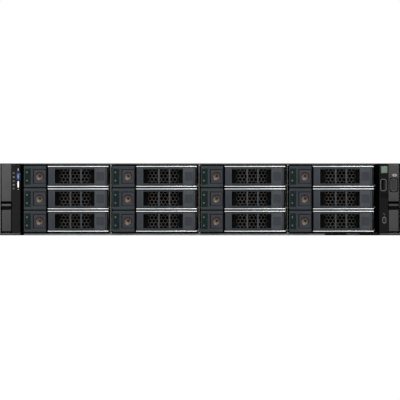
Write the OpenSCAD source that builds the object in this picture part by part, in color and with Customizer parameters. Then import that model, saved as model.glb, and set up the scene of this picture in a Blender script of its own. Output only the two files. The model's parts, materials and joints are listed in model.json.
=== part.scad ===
// Rack-mounted network storage unit, two rack units high, with twelve hot-swap drive bays.
// X runs across the front, Y runs from the front to the back, Z is up.
// The origin is at the bottom centre of the overall box.

/* [Drive] */
// Width of one hard drive
drive_w = 101.6; // [80:0.1:125]
// Height of one hard drive
drive_h = 26.1; // [20:0.1:32]
// Length of one hard drive
drive_d = 147; // [120:1:180]

/* [Drive bays] */
// Thickness of a tray's side rail
rail_t = 1.2; // [0.9:0.1:1.6]
// Height of a tray's side rail
rail_h = 18; // [14:1:20]
// Thickness of the wall between two columns of bays
divider_t = 1.5; // [0.8:0.1:2]
// Clearance between two drives, one above the other
row_gap = 0.85; // [0.6:0.05:2]
// Height of the slot seen between two tray fronts
front_slot = 1.45; // [1:0.05:3]
// Room between the bays and the left side wall
side_room_l = 0.3; // [0.3:0.1:6]
// Room between the bays and the right side wall
side_room_r = 1.6; // [0.3:0.1:8]

/* [Tray front] */
// Reach of a tray front ahead of the rack posts
tray_reach = 20; // [17:0.5:24]
// Width of the latch housing on the left of a tray front
housing_w = 26.5; // [22:0.5:32]
// Thickness of the bright flange above and below a handle
flange_t = 1.55; // [1:0.05:2.5]
// Thickness of the swinging handle
handle_t = 6; // [5:0.1:7]
// Radius of the handle's hinge pin
hinge_pin_r = 1; // [0.8:0.1:1.4]
// Width of one cell of the honeycomb grille
cell_pitch = 4.5; // [4:0.1:6]
// Thickness of the walls between the grille's cells
cell_wall = 0.9; // [0.6:0.1:1.2]
// Width of the release button
button_w = 13.4; // [11:0.1:15]
// Height of the release button
button_h = 16.2; // [13:0.1:19]
// Travel of the release button
button_travel = 1.2; // [0.8:0.1:1.5]

/* [Chassis] */
// Depth from the rack posts to the rear wall
body_d = 680; // [560:10:820]
// Thickness of the steel sheet
sheet = 1.2; // [0.8:0.1:1.6]
// Reach of the sheet-metal body ahead of the rack posts
body_reach = 14; // [10:0.5:16]
// Height of the side lips of the two covers
cover_lip = 12; // [8:1:16]
// Depth of the fixed cover over the drives, from the rack posts
front_cover_d = 172; // [165:1:185]
// Radius of the studs that hang in the slide rails
stud_r = 4; // [3:0.1:5]
// Length of a rail stud outside the side wall
stud_l = 3.5; // [3:0.1:5]
// Radius of a screw's shank
screw_r = 1.5; // [1.2:0.1:2]

/* [Rack ears] */
// Width of the ear that shows on each side of the body
ear_w = 24; // [22:0.5:40]
// Reach of an ear's face ahead of the rack posts
ear_reach = 19; // [17:0.5:20]
// Thickness of the steel ear bracket
ear_plate_t = 2; // [1.5:0.1:3]
// Width of the dark control strip on an ear
strip_w = 11.4; // [10:0.1:13]
// Height of the finger slot above an ear latch
latch_slot = 2.9; // [2:0.1:4]
// Height of the finger lip of an ear latch
latch_lip = 2.7; // [2:0.1:4]

/* [Cooling and power] */
// Size of a square fan
fan_size = 80; // [60:1:81]
// Depth of a fan
fan_d = 38; // [25:1:40]
// Width of a power supply
psu_w = 73.5; // [60:0.5:90]
// Length of a power supply inside the body
psu_d = 185; // [150:5:230]
// Reach of a power supply's handle behind the rear wall
psu_handle_reach = 35; // [30:1:42]
// Thickness of the shelf between the two power supplies
psu_shelf_t = 1; // [0.8:0.1:2]

/* [Hidden] */
$fn = 48;
columns = 4;
rows = 3;
bays = columns * rows;
fans = 3;
psus = 2;

// Clearances
part_gap = 0.1;      // between separate solids of one node
run_gap = 0.3;       // between pieces that move past each other
pin_gap = 0.05;      // around a hinge pin or shaft
slide_gap = 0.4 - part_gap / 2;

// Heights, from the floor up
tag_space = 1.4;
cage_sheet = 0.8;
drive_clear = 0.5;
cage_z = sheet + tag_space;
bay_pitch_z = drive_h + row_gap;
drives_z = cage_z + cage_sheet + drive_clear;
roof_z = drives_z + (rows - 1) * bay_pitch_z + drive_h + drive_clear - 0.1;
cover_z = roof_z + cage_sheet + drive_clear;
body_h = cover_z + sheet;
wall_top = cover_z - run_gap;

// Widths
tray_half_w = drive_w / 2 + part_gap / 2 + rail_t;
bay_pitch_x = 2 * (tray_half_w + slide_gap) + divider_t;
inner_w = columns * bay_pitch_x + divider_t + side_room_l + side_room_r;
tub_w = inner_w + 2 * sheet;
lip_in = tub_w / 2 + run_gap;
body_w = 2 * (lip_in + sheet);
rack_w = body_w + 2 * ear_w;
bay_x0 = -inner_w / 2 + side_room_l + divider_t / 2;

// Depths, with the face of the rack posts at zero
lip_reach = 3;
front_reach = ear_reach + lip_reach;
overall_d = front_reach + body_d + psu_handle_reach;
rack_y = front_reach - overall_d / 2;
front_y = -body_reach;
drive_y = -4;
drive_end = drive_y + drive_d;
board_gap = 0.3;
socket_l = 8.7;
backplane_y = drive_end + board_gap + socket_l;
backplane_t = 2.4;

// Tray front, about the bay's centre
tray_h = bay_pitch_z - front_slot;
front_margin_l = 1.7;
front_margin_r = 3.05;
front_l = -bay_pitch_x / 2 + front_margin_l;
front_r = bay_pitch_x / 2 - front_margin_r;
housing_gap = 2.1;
flange_l = front_l + housing_w + housing_gap;
grille_t = 1;
grille_y = -tray_reach + handle_t + 4;
handle_side_gap = 0.6;
handle_run = 0.5;
handle_l = flange_l + handle_side_gap;
handle_h = tray_h - 2 * flange_t - 2 * handle_run;
hinge_x = front_r - handle_t / 2 - 0.4;
hinge_y = -tray_reach + handle_t / 2;
hinge_depth = 4;
grip_block_w = 7.8;
plain_end_w = 13.6;
window_l = handle_l + grip_block_w;
window_r = hinge_x - plain_end_w;
window_h = 16.9;
grille_plain = [4.8, 3.9];
grille_rows = 2;
rib_w = 1.8;
rib_share = [0.395, 0.664];
button_x = front_l + 11.6 + button_w / 2 + run_gap;
button_l = 6.8;
dish_r = 4.4;
dish_d = 1.8;
lens_x = front_l + 1.5;
lens_w = 6.2;
lens_h = 18.4;
lens_t = 0.7;
lens_sink = 0.2;
housing_back = grille_y - part_gap;
ledge_t = 2;
ledge_w = slide_gap + rail_t - 0.3;
ledge_y = -2;

// Ears, measured from the body's middle outwards
ear_in = body_w / 2 - 1;
ear_out = rack_w / 2;
strip_out = ear_in + strip_w;
plate_in = strip_out + 0.2;
plate_out = ear_out - 2.3;
ear_h = body_h - 0.5;
sill_h = 2.9;
latch_top = 37.8;
latch_bottom = 4.8;
strip_y = -ear_reach + 1;

// Fans, power supplies and rear wall
fan_y = drive_end + 57;
fan_pitch = 140;
fan_bore_r = fan_size / 2 - 1.5;
hub_r = 16.5;
psu_x = tub_w / 2 - sheet - 2.8 - psu_w / 2;
psu_h = (wall_top - sheet - psu_shelf_t - 5 * run_gap) / psus;
psu_pitch = psu_h + psu_shelf_t + 2 * run_gap;
psu_z = sheet + run_gap;
shelf_z = psu_z + psu_h + run_gap;
psu_wall_x = psu_x - psu_w / 2 - run_gap - sheet;
slots = 7;
slot_pitch = 20.32;
slot_x0 = -tub_w / 2 + 20.5;
slot_w = 14;
cover_plate_w = 18.4;
board_z = 8;
board_t = 1.6;
board_y = body_d - 335;
board_l = 330;
board_x = -tub_w / 2 + 10.5;
board_w = psu_wall_x - 11 - board_x;
jack_x0 = slot_x0 + slots * slot_pitch + 6;
jack_sheet_x = jack_x0 - 9;
slot_z = [8, 76];
vent_w = 3.6;
vent_h = 16;
vent_pitch = 7;
vent_z = [44, 64];
standoff_r = 2.5;

// Rear jacks on the main board, each [distance along X, width, height, depth of its hollow]
jacks = [[4, 30.8, 12.4, 1.5], [44, 13.4, 15.6, 10], [66, 16, 13.6, 14],
    [86, 16, 13.6, 14], [110, 16, 13.6, 14]];
jack_d = 21;
jack_wall = 2;
memory_pitch = 9.5;

// Information tag
tag_w = 63;
tag_r = tub_w / 2 - 1.8;
tag_d = 62;

// Cover latch
pan_x = 104;
pan_y = 34;
pan_d = 6;
pan_t = 1;
pan_y0 = body_d - 370;
latch_pin_r = 1;
lever_t = 3;
lever_y = pan_y0 + pan_y - 3;
lever_z = body_h - pan_d / 2;
finger_notch_r = 9;

// Screws, each [x, y, z] on an outer side face
head_r = 2.9;
head_t = 1.1;
ear_flange_t = 1.4;
ear_flange_d = 34;
shank_l = ear_flange_t + sheet;
ear_screw_y = [6, ear_flange_d - 8];
ear_screw_z = [18, 60];
cover_screw_y = [20, front_cover_d - 22];
cover_screw_z = body_h - 7;
studs = 4;
first_stud_y = ear_flange_d + stud_r + 12;
last_stud_y = body_d - 60;

// Power supply inlet, grip and lever, about the middle of its rear face
inlet_w = 24;
inlet_h = 16;
inlet_x = -psu_w / 2 + 17;
inlet_d = 18;
inlet_pin_set_back = 6;
grip_w = 34;
grip_x = 8;
grip_bar = 4;
psu_latch_x = psu_w / 2 - 2;
psu_latch_y = -24;

// Controls and ports on the ears
id_w = 4;
id_h = 9.4;
id_x = ear_in + 3;
id_z = body_h - 15.6;
bar_w = 3;
bar_h = 8.8;
bar_z = id_z - 10.4;
power_w = 7.6;
power_h = 8.2;
power_x = ear_in + 5.5;
power_z = body_h - 7.9;
usb_w = 6.6;
usb_h = 14.4;
usb_d = 11;
usb_x = ear_in + 4.9;
usb_z = body_h - 26.2;
vga_x = plate_in + 6.2;
vga_z = body_h - 26.2;
service_x = ear_in + 5.6;
service_z = 18.2;

function two(i) = str(i < 9 ? "0" : "", i + 1);
bay_nodes = [for (kind = ["tray_", "handle_", "button_"]) for (i = [0:bays - 1]) str(kind, two(i))];

// A box from one corner to the opposite one
module span(low, high) {
    translate(low) cube(high - low);
}

// A cylinder along X, Y or Z from a point
module rod(from, axis, r, l) {
    translate(from) rotate(axis == "x" ? [0, 90, 0] : axis == "y" ? [-90, 0, 0] : 0)
        cylinder(r = r, h = l);
}

// An upright slot shape seen along Y, centred on x and z
module capsule(w, h, y0, y1) {
    span([-w / 2, y0, -(h - w) / 2], [w / 2, y1, (h - w) / 2]);
    for (s = [-1, 1]) rod([0, y0, s * (h - w) / 2], "y", w / 2, y1 - y0);
}

module on_rack_plane() {
    translate([0, rack_y, 0]) children();
}

// Places a child in bay i, counted down each column from the left
module at_bay(i) {
    column = floor(i / rows);
    row = i % rows;
    on_rack_plane() translate([bay_x0 + (column + 0.5) * bay_pitch_x, 0,
        drives_z + drive_h / 2 + (rows - 1 - row) * bay_pitch_z]) children();
}

// Places a child at the middle of power supply i, counted from the bottom
module at_psu(i) {
    on_rack_plane() translate([psu_x, body_d, psu_z + psu_h / 2 + i * psu_pitch]) children();
}

function fan_x(i) = (i - (fans - 1) / 2) * fan_pitch;

// ---- Drive bays ----

module honeycomb() {
    step_z = cell_pitch * sin(60);
    left = window_l + grille_plain[0];
    right = window_r - grille_plain[1];
    across = floor((right - left) / cell_pitch);
    for (row = [-grille_rows:grille_rows], column = [0:across - (abs(row) % 2)]) {
        x = (left + right) / 2 + (column - (across - (abs(row) % 2)) / 2) * cell_pitch;
        translate([x, row * step_z]) rotate(30)
            circle(r = (cell_pitch - cell_wall) / 2 / cos(30), $fn = 6);
    }
}

// The steel tray: grille plate, bright flanges, hinge pins and side rails
module tray_frame() {
    frame_y = grille_y + grille_t;
    translate([0, frame_y, 0]) rotate([90, 0, 0]) linear_extrude(grille_t) difference() {
        translate([front_l, -tray_h / 2]) square([front_r - front_l, tray_h]);
        honeycomb();
    }
    for (s = [-1, 1]) {
        z = s * (tray_h / 2 - flange_t / 2);
        span([flange_l, -tray_reach, z - flange_t / 2], [front_r, frame_y, z + flange_t / 2]);
        pin_l = hinge_depth - 0.2 + handle_run;
        pin_z = s > 0 ? tray_h / 2 - flange_t - pin_l : -tray_h / 2 + flange_t;
        rod([hinge_x, hinge_y, pin_z], "z", hinge_pin_r, pin_l);
        rail_in = s * (tray_half_w - rail_t);
        rail_out = s * tray_half_w;
        span([min(rail_in, rail_out), frame_y, -rail_h / 2],
            [max(rail_in, rail_out), drive_end + 3, rail_h / 2]);
        shoulder = s * (tray_half_w - 5);
        span([min(shoulder, rail_out), frame_y, -rail_h / 2],
            [max(shoulder, rail_out), drive_y - 1, rail_h / 2]);
    }
}

// The plastic housing that holds the release button and the light strip
module tray_housing() {
    difference() {
        span([front_l, -tray_reach, -tray_h / 2], [front_l + housing_w, housing_back, tray_h / 2]);
        span([button_x - button_w / 2 - run_gap, -tray_reach - 1, -button_h / 2 - run_gap],
            [button_x + button_w / 2 + run_gap, -tray_reach + button_l + button_travel + 0.4,
            button_h / 2 + run_gap]);
        span([lens_x - part_gap, -tray_reach - 1, -lens_h / 2 - part_gap],
            [lens_x + lens_w + part_gap, -tray_reach + lens_sink + lens_t + part_gap, lens_h / 2 + part_gap]);
    }
}

module tray_lens() {
    span([lens_x, -tray_reach + lens_sink, -lens_h / 2],
        [lens_x + lens_w, -tray_reach + lens_sink + lens_t, lens_h / 2]);
}

// The hard drive: casting, raised lid and the notch for its connector
module hard_drive() {
    lid_t = 1.6;
    difference() {
        union() {
            span([-drive_w / 2, drive_y, -drive_h / 2], [drive_w / 2, drive_end, drive_h / 2 - lid_t]);
            span([-drive_w / 2 + 2.5, drive_y + 4, 0], [drive_w / 2 - 2.5, drive_end - 12, drive_h / 2]);
        }
        span([-drive_w / 2 + 12, drive_end - 5, -drive_h / 2 - 1],
            [-drive_w / 2 + 56, drive_end + 1, -drive_h / 2 + 8]);
    }
}

module tray() {
    color("silver") tray_frame();
    color("dimgray") tray_housing();
    color("darkslategray") tray_lens();
    color("gray") hard_drive();
}

module handle() {
    ribs = [for (s = rib_share) window_l + s * (window_r - window_l)];
    color("slategray") difference() {
        union() {
            span([handle_l, -tray_reach, -handle_h / 2], [hinge_x, -tray_reach + handle_t, handle_h / 2]);
            rod([hinge_x, hinge_y, -handle_h / 2], "z", handle_t / 2, handle_h);
            span([handle_l, -tray_reach + handle_t - 1, -5], [handle_l + 2.6, grille_y - 1, 5]);
            span([hinge_x - 3, hinge_y, -4], [hinge_x, hinge_y + handle_t / 2 + 2.4, 4]);
        }
        for (w = [[window_l, ribs[0]], [ribs[0], ribs[1]], [ribs[1], window_r]])
            span([w[0] + (w[0] == window_l ? 0 : rib_w / 2), -tray_reach - 1, -window_h / 2],
                [w[1] - (w[1] == window_r ? 0 : rib_w / 2), grille_y, window_h / 2]);
        for (z = [-handle_h / 2 - 1, handle_h / 2 - hinge_depth])
            rod([hinge_x, hinge_y, z], "z", hinge_pin_r + pin_gap, hinge_depth + 1);
    }
}

module button() {
    color("dimgray") difference() {
        span([button_x - button_w / 2, -tray_reach + 0.2, -button_h / 2],
            [button_x + button_w / 2, -tray_reach + button_l, button_h / 2]);
        rod([button_x, -tray_reach - 1, 0], "y", dish_r, dish_d + 1.2);
    }
    color("peru") difference() {
        rod([button_x, -tray_reach - 0.1, 0], "y", 3.1, dish_d + 0.2);
        rod([button_x, -tray_reach - 1, 0], "y", 1.3, 2.2);
    }
}

module drive_cage() {
    color("gray") on_rack_plane() {
        left = bay_x0 - divider_t / 2;
        right = bay_x0 + columns * bay_pitch_x + divider_t / 2;
        cage_end = backplane_y;
        for (z = [cage_z, roof_z])
            span([left, front_y + 2, z], [right, cage_end, z + cage_sheet]);
        for (column = [0:columns]) {
            x = bay_x0 + column * bay_pitch_x;
            span([x - divider_t / 2, front_y, cage_z], [x + divider_t / 2, cage_end, roof_z + cage_sheet]);
            for (row = [0:rows - 1]) {
                ledge_top = drives_z + row * bay_pitch_z + (drive_h - rail_h) / 2 - run_gap;
                reach_l = column > 0 ? ledge_w : 0;
                reach_r = column < columns ? ledge_w : 0;
                span([x - divider_t / 2 - reach_l, ledge_y, ledge_top - ledge_t],
                    [x + divider_t / 2 + reach_r, drive_end, ledge_top]);
            }
        }
    }
}

module backplane() {
    socket_w = 42;
    socket_h = 6;
    board_low = cage_z + 2;
    board_high = roof_z - 1;
    on_rack_plane() {
        color("darkgreen") difference() {
            span([-inner_w / 2 + 1, backplane_y + part_gap, board_low],
                [inner_w / 2 - 1, backplane_y + backplane_t, board_high]);
            for (column = [0:columns - 1], row = [0:rows - 1])
                translate([bay_x0 + (column + 0.5) * bay_pitch_x, 0, drives_z + row * bay_pitch_z])
                    span([-drive_w / 2 + 8, backplane_y - 1, 12], [drive_w / 2 - 8, backplane_y + 9, 22]);
        }
        color("black") for (column = [0:columns - 1], row = [0:rows - 1])
            translate([bay_x0 + (column + 0.5) * bay_pitch_x - drive_w / 2 + 13, 0,
                drives_z + row * bay_pitch_z + 1.2])
                span([0, drive_end - 4.5, 0], [socket_w, backplane_y, socket_h]);
        color("dimgray") for (i = [0:2]) signal_cable(i);
    }
}

// A round data cable from the backplane to the main board
module signal_cable(i) {
    r = 2.4;
    bend = 9;
    x = -inner_w / 2 + 6;
    z = board_z + board_t + 6 + i * 9;
    start = backplane_y + backplane_t + part_gap;
    straight_end = board_y + 20 + i * 12;
    rod([x, start, z], "y", r, straight_end - start);
    translate([x + bend, straight_end, z]) rotate([0, 0, 90]) rotate_extrude(angle = 90)
        translate([bend, 0]) circle(r);
    rod([x + bend, straight_end + bend, z], "x", r, 8);
    span([x + bend + 8, straight_end + bend - 5, board_z + board_t + part_gap],
        [x + bend + 18, straight_end + bend + 5, z + 4]);
}

// ---- Chassis and covers ----

module side_screw_hole(x, y, z) {
    rod([x - 6, y, z], "x", screw_r + part_gap, 12);
}

// The tub: floor, side walls and the hem under the bays
module chassis_tub() {
    difference() {
        union() {
            span([-tub_w / 2, front_y, 0], [tub_w / 2, body_d, sheet]);
            span([-tub_w / 2, front_y, 0], [tub_w / 2, front_y + sheet, cage_z]);
            for (s = [-1, 1]) {
                inner = s * inner_w / 2;
                outer = s * tub_w / 2;
                span([min(inner, outer), front_y, 0], [max(inner, outer), body_d, wall_top]);
                span([min(inner, outer), front_y, 0], [max(inner, outer), front_cover_d, cover_z]);
            }
        }
        span([tag_r - tag_w - run_gap, front_y - 1, sheet],
            [tag_r + run_gap, front_y + sheet + 1, cage_z + 1]);
        for (s = [-1, 1]) {
            for (y = ear_screw_y, z = ear_screw_z) side_screw_hole(s * tub_w / 2, y, z);
            for (y = cover_screw_y) side_screw_hole(s * tub_w / 2, y, cover_screw_z);
        }
    }
    stud_pitch = (last_stud_y - first_stud_y) / (studs - 1);
    for (s = [-1, 1], i = [0:studs - 1])
        rod([s > 0 ? tub_w / 2 - sheet : -tub_w / 2 - stud_l, first_stud_y + i * stud_pitch, body_h / 2],
            "x", stud_r, stud_l + sheet);
}

// The two sheets of the rear wall: around the slots and around the jacks
module rear_wall() {
    for (sides = [[-inner_w / 2 + part_gap, jack_sheet_x - part_gap], [jack_sheet_x, psu_wall_x - part_gap]])
        difference() {
            span([sides[0], body_d - sheet, sheet + part_gap], [sides[1], body_d, wall_top]);
            rear_openings();
        }
}

module rear_openings() {
    low = body_d - sheet - 1;
    high = body_d + 1;
    for (i = [0:slots - 1])
        translate([slot_x0 + i * slot_pitch, 0, 0])
            span([-slot_w / 2, low, slot_z[0]], [slot_w / 2, high, slot_z[1]]);
    for (jack = jacks)
        translate([jack_x0 + jack[0], 0, board_z + board_t])
            span([-part_gap, low, -part_gap], [jack[1] + part_gap, high, jack[2] + part_gap]);
    vent_l = jack_x0 + 2;
    vents = floor((psu_wall_x - 8 - vent_l) / vent_pitch);
    for (i = [0:vents], z = vent_z)
        translate([vent_l + i * vent_pitch, 0, z]) span([0, low, 0], [vent_w, high, vent_h]);
}

// The wall, shelf and rear strip around the power supplies
module psu_bay() {
    low = sheet + part_gap;
    side = inner_w / 2 - part_gap;
    bay_y = body_d - psu_d;
    span([psu_wall_x, bay_y - 14, low], [psu_wall_x + sheet, body_d, psu_z + psu_pitch + psu_h]);
    span([psu_wall_x, bay_y, shelf_z], [side, body_d, shelf_z + psu_shelf_t]);
    span([psu_x + psu_w / 2 + run_gap, body_d - sheet, low], [side, body_d, wall_top]);
}

module chassis_base() {
    color("darkgray") on_rack_plane() {
        chassis_tub();
        rear_wall();
        psu_bay();
        for (x = [board_x + 12, board_x + board_w - 12], y = [board_y + 12, board_y + board_l / 2, body_d - 18])
            rod([x, y, sheet + part_gap], "z", standoff_r, board_z - sheet - part_gap);
    }
}

module cover_skin(y0, y1) {
    span([-body_w / 2, y0, cover_z], [body_w / 2, y1, body_h]);
    for (s = [-1, 1]) {
        inner = s * lip_in;
        outer = s * body_w / 2;
        span([min(inner, outer), y0, body_h - cover_lip], [max(inner, outer), y1, body_h]);
    }
}

module front_cover() {
    color("silver") on_rack_plane() difference() {
        cover_skin(front_y, front_cover_d);
        for (s = [-1, 1], y = cover_screw_y) side_screw_hole(s * body_w / 2, y, cover_screw_z);
    }
}

// The lift-off cover with its sunken latch pan and the two latch pins
module rear_cover() {
    color("silver") on_rack_plane() {
        difference() {
            cover_skin(front_cover_d + run_gap, body_d);
            span([-pan_x / 2, pan_y0, cover_z - 1], [pan_x / 2, pan_y0 + pan_y, body_h + 1]);
        }
        difference() {
            span([-pan_x / 2 - pan_t, pan_y0 - pan_t, body_h - pan_d - pan_t],
                [pan_x / 2 + pan_t, pan_y0 + pan_y + pan_t, cover_z + sheet / 2]);
            span([-pan_x / 2, pan_y0, body_h - pan_d], [pan_x / 2, pan_y0 + pan_y, body_h + 1]);
        }
        for (x = [-pan_x / 2, pan_x / 2 - 3]) rod([x, lever_y, lever_z], "x", latch_pin_r, 3);
    }
}

module cover_latch() {
    side = pan_x / 2 - 0.5;
    barrel_r = 2;
    color("royalblue") on_rack_plane() difference() {
        union() {
            span([-side, pan_y0 + 1.5, lever_z + barrel_r - lever_t], [side, lever_y, lever_z + barrel_r]);
            rod([-side, lever_y, lever_z], "x", barrel_r, 2 * side);
        }
        for (x = [-side - 1, side - 3]) rod([x, lever_y, lever_z], "x", latch_pin_r + pin_gap, 4);
        rod([0, pan_y0 + 1, lever_z - 5], "z", finger_notch_r, 12);
    }
}

module slot_covers() {
    y0 = body_d - sheet - 1;
    color("lightgray") on_rack_plane() for (i = [0:slots - 1]) translate([slot_x0 + i * slot_pitch, 0, 0])
        difference() {
            union() {
                span([-cover_plate_w / 2, y0, 3], [cover_plate_w / 2, y0 + 0.9, wall_top - 2]);
                span([-cover_plate_w / 2, y0 - 10, wall_top - 3], [cover_plate_w / 2, y0 + 0.9, wall_top - 2]);
            }
            for (z = [12:7:68]) span([-4.5, y0 - 1, z], [4.5, y0 + 2, z + 3.6]);
            rod([0, y0 - 5, wall_top - 6], "z", screw_r + part_gap, 8);
        }
}

module screw(axis_turn) {
    rotate(axis_turn) {
        cylinder(r = head_r, h = head_t);
        translate([0, 0, -shank_l]) cylinder(r = screw_r, h = shank_l + 0.1);
    }
}

module screws() {
    color("dimgray") on_rack_plane() {
        for (s = [-1, 1]) {
            for (y = ear_screw_y, z = ear_screw_z)
                translate([s * (tub_w / 2 + ear_flange_t), y, z]) screw([0, s * 90, 0]);
            for (y = cover_screw_y) translate([s * body_w / 2, y, cover_screw_z]) screw([0, s * 90, 0]);
        }
        for (i = [0:slots - 1])
            translate([slot_x0 + i * slot_pitch, body_d - sheet - 6, wall_top - 2]) screw([0, 0, 0]);
    }
}

// ---- Inside ----

module fan_frames() {
    color("dimgray") on_rack_plane() {
        difference() {
            span([-inner_w / 2, fan_y - 4, sheet], [inner_w / 2, fan_y - 4 + sheet, wall_top - 1.5]);
            for (i = [0:fans - 1]) rod([fan_x(i), fan_y - 6, sheet + fan_size / 2], "y", fan_bore_r, 8);
            span([-inner_w / 2 - 1, fan_y - 6, board_z], [-inner_w / 2 + 11, fan_y, 44]);
        }
        for (i = [0:fans - 1]) translate([fan_x(i), fan_y, sheet + fan_size / 2]) fan_frame();
    }
}

module fan_frame() {
    plate = 4;
    difference() {
        span([-fan_size / 2, -4 + sheet + part_gap, -fan_size / 2], [fan_size / 2, fan_d, fan_size / 2]);
        rod([0, -5, 0], "y", fan_bore_r, fan_d + 6);
    }
    difference() {
        union() {
            rod([0, fan_d - plate, 0], "y", hub_r + 1, plate);
            for (turn = [45, 135]) rotate([0, turn, 0])
                span([-fan_bore_r - 1, fan_d - plate, -2], [fan_bore_r + 1, fan_d, 2]);
        }
        rod([0, fan_d - plate - 1, 0], "y", 2 + pin_gap, plate + 2);
    }
}

module fan_rotor(i) {
    blades = 7;
    color("black") on_rack_plane() translate([fan_x(i), fan_y, sheet + fan_size / 2]) {
        rod([0, 2, 0], "y", hub_r, fan_d - 7);
        rod([0, fan_d - 6, 0], "y", 2, 5);
        for (blade = [0:blades - 1]) rotate([0, blade * 360 / blades, 0])
            translate([0, fan_d / 2 - 2, 0]) rotate([0, 0, 38])
                translate([-0.9, -13, hub_r - 3]) cube([1.8, 26, fan_bore_r - hub_r + 1.2]);
    }
}

module main_board() {
    top = board_z + board_t;
    on_rack_plane() {
        color("darkgreen") span([board_x, board_y, board_z], [board_x + board_w, board_y + board_l, top]);
        color("silver") for (share = [0.294, 0.712])
            translate([board_x + share * board_w, board_y + 84, top + part_gap]) heatsink(78, 96, 58);
        color("seagreen") for (share = [0.09, 0.503, 0.918], i = [-1.5:1.5])
            translate([board_x + share * board_w + i * memory_pitch, board_y + 66, top + part_gap])
                span([-0.7, 0, 0], [0.7, 133, 34]);
        for (jack = jacks) translate([jack_x0 + jack[0], body_d - jack_d, top + part_gap])
            color("silver") jack_block(jack);
        color("darkgreen") span([psu_wall_x + sheet + 2, body_d - psu_d - 12, 4],
            [tub_w / 2 - sheet - 3, body_d - psu_d - 10, wall_top - 4]);
        color("black") for (i = [0:psus - 1])
            span([psu_x - 24, body_d - psu_d - 9.9, psu_z + i * psu_pitch + 8],
                [psu_x + 24, body_d - psu_d - board_gap, psu_z + i * psu_pitch + 18]);
    }
}

module heatsink(w, l, h) {
    fins = 12;
    base = 6;
    span([-w / 2, 0, 0], [w / 2, l, base]);
    for (i = [0:fins - 1]) {
        x = -w / 2 + i * (w - 1.2) / (fins - 1);
        span([x, 0, base - 1], [x + 1.2, l, h]);
    }
}

// A rear jack: its block, and the four walls around its mouth
module jack_block(jack) {
    w = jack[1];
    top = jack[2] - part_gap;
    roof = jack[2] - 1.5 * jack_wall;
    mouth = jack_d - jack[3];
    span([0, 0, 0], [w, mouth - part_gap, top]);
    span([0, mouth, 0], [w, jack_d, jack_wall]);
    span([0, mouth, roof], [w, jack_d, top]);
    for (x = [0, w - jack_wall])
        span([x, mouth, jack_wall + part_gap], [x + jack_wall, jack_d, roof - part_gap]);
}

// ---- Power supplies ----

module psu_box() {
    difference() {
        span([-psu_w / 2, -psu_d, -psu_h / 2], [psu_w / 2, 0, psu_h / 2]);
        span([inlet_x - inlet_w / 2, -inlet_d, -inlet_h / 2], [inlet_x + inlet_w / 2, 1, inlet_h / 2]);
        span([psu_w / 2 - 6, psu_latch_y - 4, -5], [psu_w / 2 + 1, 1, 5]);
        rod([grip_x, -1.2, 0], "y", 15, 3);
    }
    for (pin = [[-7, -2], [7, -2], [0, 3]])
        span([inlet_x + pin[0] - 1, -inlet_d - 1, pin[1] - 2],
            [inlet_x + pin[0] + 1, -inlet_pin_set_back, pin[1] + 2]);
    for (s = [-1, 1]) span([grip_x + s * (grip_w / 2 - grip_bar / 2) - grip_bar / 2, -1, -3],
        [grip_x + s * (grip_w / 2 - grip_bar / 2) + grip_bar / 2, psu_handle_reach - 4, 3]);
    span([grip_x - grip_w / 2, psu_handle_reach - 5, -3], [grip_x + grip_w / 2, psu_handle_reach, 3]);
    rod([psu_latch_x, psu_latch_y, -5.5], "z", hinge_pin_r, 11);
}

module psu(i) {
    color("silver") at_psu(i) psu_box();
}

module psu_latch(i) {
    arm_t = 1.6;
    color("firebrick") at_psu(i) difference() {
        union() {
            rod([psu_latch_x, psu_latch_y, -4.6], "z", 1.9, 9.2);
            span([psu_latch_x - arm_t / 2, psu_latch_y, -4.6], [psu_latch_x + arm_t / 2, 14, 4.6]);
            span([psu_latch_x - 4, 12, -4.6], [psu_latch_x + arm_t / 2, 14, 4.6]);
        }
        rod([psu_latch_x, psu_latch_y, -6], "z", hinge_pin_r + pin_gap, 12);
    }
}

// ---- Rack ears ----

// The bent steel bracket of an ear: rack flange and side flange
module ear_bracket() {
    difference() {
        union() {
            span([body_w / 2 + run_gap, -ear_plate_t, 3], [ear_out, 0, ear_h]);
            span([tub_w / 2, -ear_plate_t, 3], [body_w / 2 + run_gap + 1, 0, body_h - cover_lip - 2]);
            span([tub_w / 2, front_y + 1, 8], [tub_w / 2 + ear_flange_t, ear_flange_d, body_h - cover_lip - 2]);
        }
        span([plate_in + 1, -ear_plate_t - 1, 14], [plate_out - 1, 1, 32]);
        for (y = ear_screw_y, z = ear_screw_z) side_screw_hole(tub_w / 2, y, z);
    }
}

// The moulded front of an ear, hollow behind the latch
module ear_front() {
    difference() {
        union() {
            span([ear_in, -ear_reach, 0], [ear_out, front_y - run_gap, ear_h]);
            span([body_w / 2 + run_gap, front_y - 1, 0], [ear_out, -ear_plate_t - part_gap, ear_h]);
        }
        span([plate_out, -ear_reach - 1, sill_h], [plate_out + 1, -ear_reach + 2, ear_h + 1]);
        span([plate_in - 0.2, -ear_reach - 1, sill_h],
            [plate_out, -ear_plate_t - part_gap + 1, latch_top + latch_slot]);
        span([ear_in - 1, -ear_reach - 1, sill_h], [plate_in - 0.2, strip_y, ear_h + 1]);
    }
}

module left_ear() {
    on_rack_plane() mirror([1, 0, 0]) {
        color("gray") ear_bracket();
        color("dimgray") difference() {
            ear_front();
            translate([id_x, 0, id_z])
                capsule(id_w + 2 * run_gap, id_h + 2 * run_gap, strip_y - 1, strip_y + 5);
            translate([id_x, 0, bar_z]) capsule(bar_w, bar_h, strip_y - 1, strip_y + 1);
        }
        color("white") translate([id_x, 0, bar_z])
            capsule(bar_w - 2 * part_gap, bar_h - 2 * part_gap, strip_y - 0.2, strip_y + 0.9);
    }
}

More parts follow.
